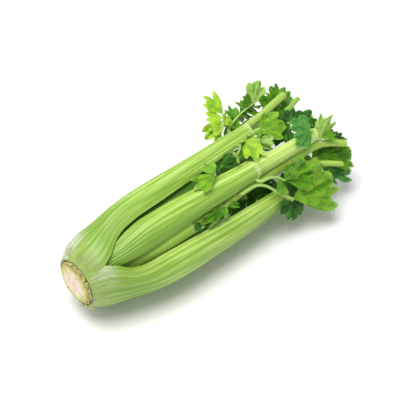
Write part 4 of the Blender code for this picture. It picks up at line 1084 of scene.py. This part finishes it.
spray("spray_pale_back", GREEN_SKIN, "stalk_outer_a", foot=(228, 34, 14),
      way=[(228, 46.5, 6), (240, 53, 5),
           (257, 56.8, 6), (278, 58.5, 6.4)], widths=(1.6, 1.0), leaflets=[
          ((270.6, 58, 6.4), (288, 77, 10), (0, 0.3, -1), 46, 14, 6),
          ((277.6, 58.4, 6.4), (291, 47, 2.6), (0, 0, 1), 48, 10, 5),
          ((247, 54.6, 4.8), (226, 47, -2), (-0.3, 0.6, 0.7), 54, 10, 5),
          ((243, 54, 5.2), (246, 69, 4), (0, 0, 1), 50, 14, 6),
          ((257, 56.6, 5.4), (276, 48, -1), (0, 0.5, 0.8), 54, 14, 5),
          ((264, 57.4, 6), (281, 61, -6), (-0.3, 0.2, 0.9), 52, 16, 8),
          ((250, 55.4, 5), (268, 50, -3), (-0.3, 0.3, 0.9), 52, 14, 8),
          ((257, 56.8, 6), (270, 68, -4), (-0.3, 0, 0.9), 50, 16, 8),
          ((268, 57.8, 6.2), (262, 70, 12), (0, 0.2, 1), 48, 18, 10),
          ((245, 54.2, 5), (259, 50, -5), (-0.4, 0.2, 0.9), 54, 12, 8),
          ((232, 48.6, 5.8), (249, 52, 0), (-0.3, 0.2, 0.9), 50, 14, 8),
          ((262, 57.2, 6), (279, 54.5, -8), (-0.4, 0.2, 0.9), 52, 12, 8)])
spray("spray_rear_tip", GREEN_SKIN, "stalk_middle_c", foot=(280, 36, -16),
      way=[(284, 40, -8), (292, 46, 0), (299, 48.6, 3)], widths=(1.5, 1.1), leaflets=[
          ((298.6, 48.4, 3), (308, 63, 8), (0, 0, 1), 56, 20, 12),
          ((297, 48, 2.4), (311, 39, 2), (0, 0.2, 1), 40, 20, 10),
          ((299, 48.4, 3), (312, 40, 13), (-0.3, 0, 0.9), 52, 14, 8),
          ((297, 48, 2.4), (290, 60, 10), (0, 0.1, 1), 50, 18, 10),
          ((292, 46, 0), (281, 41, -6), (-0.4, 0.2, 0.9), 54, 12, 8),
          ((288, 43, -4), (305, 37, 1), (-0.4, 0, 0.9), 54, 12, 8),
          ((298, 48.4, 3), (285, 52, 3), (-0.4, 0.2, 0.9), 52, 14, 8)])


# Leaves at the rear stalk's joint and in the gap below it: a fan leaf at the
# joint, a bright young leaf that leans on the middle stalk, a small curl that
# shows its pale back, and darker leaves deep in the gap, partly painted shade.
MID_SKIN = leaf_side("fresh leaf", (0.20, 0.44, 0.012), (0.09, 0.27, 0.005),
                     (0.40, 0.60, 0.09), 0.55, 0.45)
# Dark green leaves deep among the stalks, their colour partly painted shade.
DARK_SHADED_LEAF_SKIN = leaf_side("dark shaded leaf", (0.028, 0.15, 0.005), (0.006, 0.055, 0.002),
                      (0.10, 0.28, 0.02), 0.5, 0.42)
spray("spray_fan_joint", MID_SKIN, "stalk_outer_a", foot=(235, 32, 26),
      way=[(243, 32, 28), (246, 31.4, 31)], widths=(2.3, 1.7), leaflets=[
          ((245.6, 31.4, 31), (272, 20.5, 38), (0, 0.1, 1), 56, 16, 6),
          ((245, 31.8, 30.4), (267, 37, 30.6), (0, 0.1, 1), 34, 12, 8),
          ((243.6, 31.2, 30.8), (234, 25.4, 42), (0, 0.7, 0.7), 38, 10, 6),
          ((245.4, 31.6, 30.6), (262, 27, 26), (-0.4, 0, 0.9), 50, 10, 8)])
spray("spray_yellow_gap", YOUNG_SKIN, "stalk_outer_a", foot=(218, 30, 18),
      way=[(219, 29.6, 33), (221, 28.4, 37)], widths=(1.2, 1.0), leaflets=[
          ((221, 28.2, 37.4), (211, 6, 51), (0.1, 0.6, 0.8), 40, 8, 14),
          ((221, 28.2, 37), (228, 17, 45), (-0.2, 0.4, 0.8), 46, 18, 14)])
spray("spray_pale_curl", GREEN_SKIN, "stalk_outer_a", foot=(212, 30, 18),
      way=[(213, 28, 34), (208, 25, 40.6), (199.8, 21.4, 44.8)], widths=(1.3, 1.1), leaflets=[
          ((200, 21.6, 44.6), (188.8, 14.6, 50), (0, 0.5, -0.85), 60, 26, 8),
          ((208, 25, 40.6), (204, 15, 41), (0, 0.3, 0.9), 50, 20, 12)])
spray("spray_folded_gap", GREEN_SKIN, "stalk_inner_b", foot=(230, 24, 18),
      way=[(229, 23, 29), (230, 22.5, 35)], widths=(1.5, 1.1), leaflets=[
          ((230, 22.4, 35.4), (244, 11.5, 42), (0.2, 0.4, -0.9), 40, 30, 22),
          ((229.6, 22.6, 35), (220, 14, 39), (0, 0.3, 0.95), 46, 15, 8),
          ((229.4, 22, 32.4), (252, 13.6, 29.4), (0, 0.2, 1), 40, 4, 6),
          ((229.4, 22.2, 33), (220, 30, 27), (-0.4, 0, 0.9), 56, 10, 8),
          ((229.8, 22.4, 35), (238, 26, 30), (-0.4, 0, 0.9), 54, 12, 8),
          ((230, 22, 33), (249, 9.5, 24), (-0.4, 0, 0.9), 50, 10, 8)])
spray("spray_dark_gap", DARK_SHADED_LEAF_SKIN, "stalk_inner_b", foot=(182, 17, 16),
      way=[(182, 18, 28), (184, 20, 32)], widths=(1.4, 1.0), leaflets=[
          ((184, 20, 32.2), (202, 18.5, 36), (0, 0.1, 1), 52, 20, 8),
          ((183.6, 19.8, 31.8), (171, 22.4, 35), (0, 0, 1), 46, 20, 10),
          ((184, 20, 32), (193, 12, 33), (-0.4, 0, 0.9), 54, 14, 8),
          ((183.4, 19.6, 31.4), (196, 24, 28), (-0.4, 0, 0.9), 54, 14, 8)])
spray("spray_folded_edge", MID_SKIN, "stalk_inner_b", foot=(168, 18, 16),
      way=[(168, 17, 30), (166, 16.8, 42.5), (163.5, 15.4, 49.2)], widths=(1.3, 1.0), leaflets=[
          ((163.6, 15.2, 49.2), (137, 14.8, 48.6), (0, 0.35, 0.93), 38, 16, 12),
          ((163.6, 15.8, 48.8), (163, 31, 44), (0, 0.5, 1), 50, 12, 10)])


# Leaves in the slot between the middle stalk and the front one: dark, shaded
# sprays that grow from the slender stalk inside.
spray("spray_slot_front", GREEN_SKIN, "stalk_inner_a", foot=(165, -12, 30),
      way=[(164, -14.5, 37.6), (160, -15.6, 38.8)], widths=(1.3, 1.0), leaflets=[
          ((160.4, -15.6, 38.8), (131, -18.4, 37.6), (0, -0.15, 1), 22, 6, 6),
          ((161.4, -15.6, 38.4), (175, -20.5, 38), (0, -0.1, 1), 26, 10, 8),
          ((161.4, -15.6, 38.6), (150, -22, 37), (-0.4, -0.1, 0.9), 40, 12, 8)])
spray("spray_slot_dark", DARK_SHADED_LEAF_SKIN, "stalk_inner_a", foot=(122, -20, 30),
      way=[(126, -20.6, 33.5), (130, -20.4, 34.6)], widths=(1.3, 1.0), leaflets=[
          ((129.8, -20.4, 34.8), (146, -20.8, 33.5), (0, 0, 1), 22, 8, 8),
          ((128.6, -20, 34.8), (119.6, -16, 38), (-0.3, 0, 1), 44, 15, 10)])
spray("spray_slot_deep", DARK_SHADED_LEAF_SKIN, "stalk_heart_b", foot=(184, -16, 6),
      way=[(190, -18.6, 14.6), (198, -20, 16.4)], widths=(1.5, 1.2), leaflets=[
          ((198, -20, 16.6), (238, -27, 15), (0, 0, 1), 26, 6, 4),
          ((196.6, -20.2, 16.4), (173, -27, 17), (0, -0.1, 1), 34, 8, 6),
          ((196, -20, 16), (205, -31, 15), (-0.4, 0, 0.9), 54, 12, 8),
          ((197.4, -20, 16.4), (224, -18, 19), (-0.4, 0, 0.9), 46, 12, 8)])


# Leaves that lie over the middle stalk's bare stem: a bluish one that hides its
# cut end, and a dark one behind it.
BLUE_SKIN = leaf_side("bluish leaf", (0.07, 0.28, 0.035), (0.03, 0.16, 0.02),
                      (0.20, 0.44, 0.10), 0.4, 0.55)
spray("spray_blue_top", BLUE_SKIN, "stalk_middle_a", foot=(284, 0, 40),
      way=[(284, 1.5, 51), (281, 2.4, 53.2)], widths=(1.6, 1.2), leaflets=[
          ((281, 2, 53.2), (257, -4, 54), (0, 0, 1), 40, 14, 5),
          ((282, 2.6, 52.6), (274, 24, 46), (0, 0.4, 1), 50, 22, 6)])
spray("spray_dark_top", DARK_SHADED_LEAF_SKIN, "stalk_inner_b", foot=(270, 28, 16),
      way=[(271, 27, 20), (277, 23, 27), (284, 17, 32)], widths=(1.6, 1.1), leaflets=[
          ((284, 17, 32), (311, 6, 34), (0, 0.2, 1), 46, 18, 10),
          ((280.6, 20, 29.6), (303, 25, 26), (0, 0.3, 1), 40, 22, 10),
          ((283.4, 17.6, 32), (301, 10, 42), (0, 0.6, 0.8), 46, 16, 8),
          ((279.4, 21.2, 28.8), (283, 37, 22), (0, 0.3, 1), 50, 16, 8),
          ((278.4, 21.8, 28), (253, 12, 33), (0, 0.2, 1), 44, 8, 6),
          ((279.4, 21.2, 28.8), (298, 36, 14), (-0.4, 0, 0.9), 50, 14, 8),
          ((278.6, 21.6, 28), (256, 9.5, 24), (-0.4, 0, 0.9), 50, 8, 6),
          ((280.6, 20, 29.6), (294, 31, 30), (-0.4, 0, 0.9), 52, 16, 10),
          ((284, 17, 32), (296, 2, 30), (-0.4, 0, 0.9), 48, 12, 8),
          ((277.6, 22.6, 27.4), (268, 31, 22), (-0.4, 0, 0.9), 54, 12, 8),
          ((284, 17, 32), (302, 18, 36), (-0.3, 0.2, 0.9), 52, 16, 10),
          ((281, 19.6, 30), (266, 23, 24), (-0.4, 0, 0.9), 50, 12, 8)])


# Leaves of the front: the spray at the middle joint, the long thin stem that
# carries the broadest leaf, and the dark leaves that hang over the front stalk.
spray("spray_joint_front", GREEN_SKIN, "stalk_middle_a", foot=(202, -4, 38),
      way=[(205, -12.8, 42.4), (214, -14.8, 45),
           (223, -18.6, 44.6), (230, -25.6, 42.4)], widths=(2.0, 1.3), leaflets=[
          ((230, -25.4, 42.4), (264.6, -35, 44.6), (0, -0.2, 1), 42, 8, 6),
          ((225.4, -20.4, 44.2), (217, -37, 44), (0.2, -0.2, 1), 34, 10, 12),
          ((230, -25.4, 42.6), (248, -20, 47), (-0.3, 0.1, 0.9), 46, 18, 10)])
spray("spray_broad_front", MID_SKIN, "stalk_inner_a", foot=(180, -13, 30),
      way=[(182, -13.6, 40), (197, -14, 42), (208, -19, 41),
           (219, -32, 38), (232, -46, 33.5)], widths=(1.8, 1.5), leaflets=[
          ((231.8, -45.8, 33.5), (291, -54.5, 33), (0, -0.2, 1), 41, 14, 6)])
spray("spray_dark_front", DARK_SHADED_LEAF_SKIN, "stalk_outer_b", foot=(226, -33, 14),
      way=[(231, -43.4, 28), (233.6, -47.6, 28.4)], widths=(1.5, 1.2), leaflets=[
          ((233.6, -47.4, 28), (229, -66, 20), (0, -0.3, 1), 48, 18, 8),
          ((233, -47, 28.3), (214, -52.6, 29), (0, -0.4, 0.9), 46, 16, 8),
          ((233.8, -48, 27.6), (246, -62, 20), (0, -0.3, 0.95), 48, 18, 8),
          ((233, -46.8, 28.8), (255, -35, 33), (0, 0, 1), 40, 10, 8),
          ((231.4, -43.6, 28.6), (243, -19, 25), (-0.4, 0, 0.9), 50, 12, 8),
          ((232.4, -45.6, 28.8), (254, -29, 24), (-0.4, 0, 0.9), 46, 12, 8),
          ((233.8, -48, 28.2), (252, -56, 22), (-0.3, -0.3, 0.9), 50, 16, 10)])


# Leaves at the far end: a curled leaf by the second joint with its pale back
# showing, and the dark and bluish leaves that end the head.
spray("spray_curled_end", GREEN_SKIN, "stalk_inner_a", foot=(290, -15, 37),
      way=[(292.4, -11.2, 42.2), (293, -8.8, 43)], widths=(1.8, 1.3), leaflets=[
          ((293, -8.8, 43), (314, 5.4, 47), (0.1, 0.3, -1), 42, 24, 26),
          ((293.4, -9.6, 42.6), (311, -13.6, 45), (0, 0.3, 0.9), 46, 20, 14),
          ((292.8, -10, 42.8), (304, 3, 44), (0.1, 0.3, -1), 44, 22, 20)])
spray("spray_dark_end", DARK_SHADED_LEAF_SKIN, "stalk_inner_a", foot=(306, -22, 38),
      way=[(306.6, -19.6, 33), (310, -19, 31.6)], widths=(1.2, 1.0), leaflets=[
          ((309.8, -19, 31.8), (328, -23, 31), (0, 0, 1), 36, 16, 10),
          ((309.6, -19, 31.8), (319, -7, 31), (-0.2, 0.2, 0.9), 46, 18, 10),
          ((308, -19.2, 32.2), (318, -28, 28), (-0.3, 0, 0.9), 46, 16, 10)])
spray("spray_green_end", GREEN_SKIN, "stalk_heart_b", foot=(272, -26, 28),
      way=[(275, -23, 22.5), (284, -23, 22), (291, -25, 22)], widths=(1.6, 1.2), leaflets=[
          ((290.8, -25, 22), (332, -40, 24), (0, 0, 1), 38, 12, 8),
          ((284, -23.2, 22), (305, -20, 21), (0, 0.1, 1), 46, 14, 8),
          ((290.6, -25, 22), (318, -30, 22), (-0.2, 0, 0.9), 42, 14, 8),
          ((287, -24, 22), (300, -36, 24), (-0.2, -0.1, 0.9), 46, 14, 8),
          ((285, -23.2, 22), (268, -18, 17), (-0.4, 0, 0.9), 54, 12, 8)])
spray("spray_blue_end", BLUE_SKIN, "stalk_outer_b", foot=(278, -42, 16),
      way=[(287, -43, 20), (296, -42, 18)], widths=(1.6, 1.2), leaflets=[
          ((295.8, -42, 18), (325.6, -56, 13), (0, -0.1, 1), 38, 14, 8),
          ((289.6, -43.2, 19), (307, -36, 10), (0, 0.1, 1), 42, 14, 8),
          ((295.6, -42, 18), (318, -44, 20), (-0.2, 0, 0.9), 42, 16, 8),
          ((294.6, -42.2, 18.2), (308, -55, 13), (-0.3, -0.1, 0.9), 50, 14, 8)])


# Leaves of the rear, the underside and the heart: green sprays on the sides
# that lie away from the light, with a young one in the heart.
spray("spray_rear_joint", GREEN_SKIN, "stalk_middle_c", foot=(230, 34, -24),
      way=[(239, 44.4, -26.5), (250, 45, -30)], widths=(1.8, 1.2), leaflets=[
          ((250, 44, -30), (282, 46, -46), (0, 1, -0.1), 52, 16, 6),
          ((248, 44.8, -29.4), (262, 54, -22), (0, 0.6, -0.8), 44, 14, 8)])
spray("spray_rear_low", GREEN_SKIN, "stalk_outer_c", foot=(228, 4, -38),
      way=[(238, 11, -46), (250, 13, -49)], widths=(1.8, 1.2), leaflets=[
          ((250, 13, -49), (284, 15, -54), (0, 0.2, 0.97), 46, 8, 5),
          ((247, 12.6, -48.6), (258, 28, -46), (0, 0.5, 0.85), 44, 12, 8)])
spray("spray_under_end", GREEN_SKIN, "stalk_outer_c", foot=(284, -4, -38),
      way=[(289, -3, -29), (296, -3, -28)], widths=(1.6, 1.2), leaflets=[
          ((296, -3, -28), (325, 2, -30), (0, 0.3, 0.9), 46, 14, 6)])
spray("spray_under_front", GREEN_SKIN, "stalk_middle_b", foot=(236, -36, -22),
      way=[(246, -42, -14), (255, -44, -11)], widths=(1.8, 1.2), leaflets=[
          ((255, -44, -11), (287, -49, -3), (0, -0.7, 0.7), 46, 10, 6),
          ((252, -43.6, -11.2), (264, -51, -6), (0, -0.9, 0.4), 40, 8, 6)])
spray("spray_heart", YOUNG_SKIN, "stalk_heart_a", foot=(276, 10, 6),
      way=[(278, 9, 14), (286, 8, 17), (294, 8, 18)], widths=(1.5, 1.1), leaflets=[
          ((294, 8, 18), (322, 2, 16), (0, 0.1, 1), 46, 18, 8),
          ((286, 7.8, 17), (300, -6, 14), (0, -0.2, 1), 44, 14, 8)])
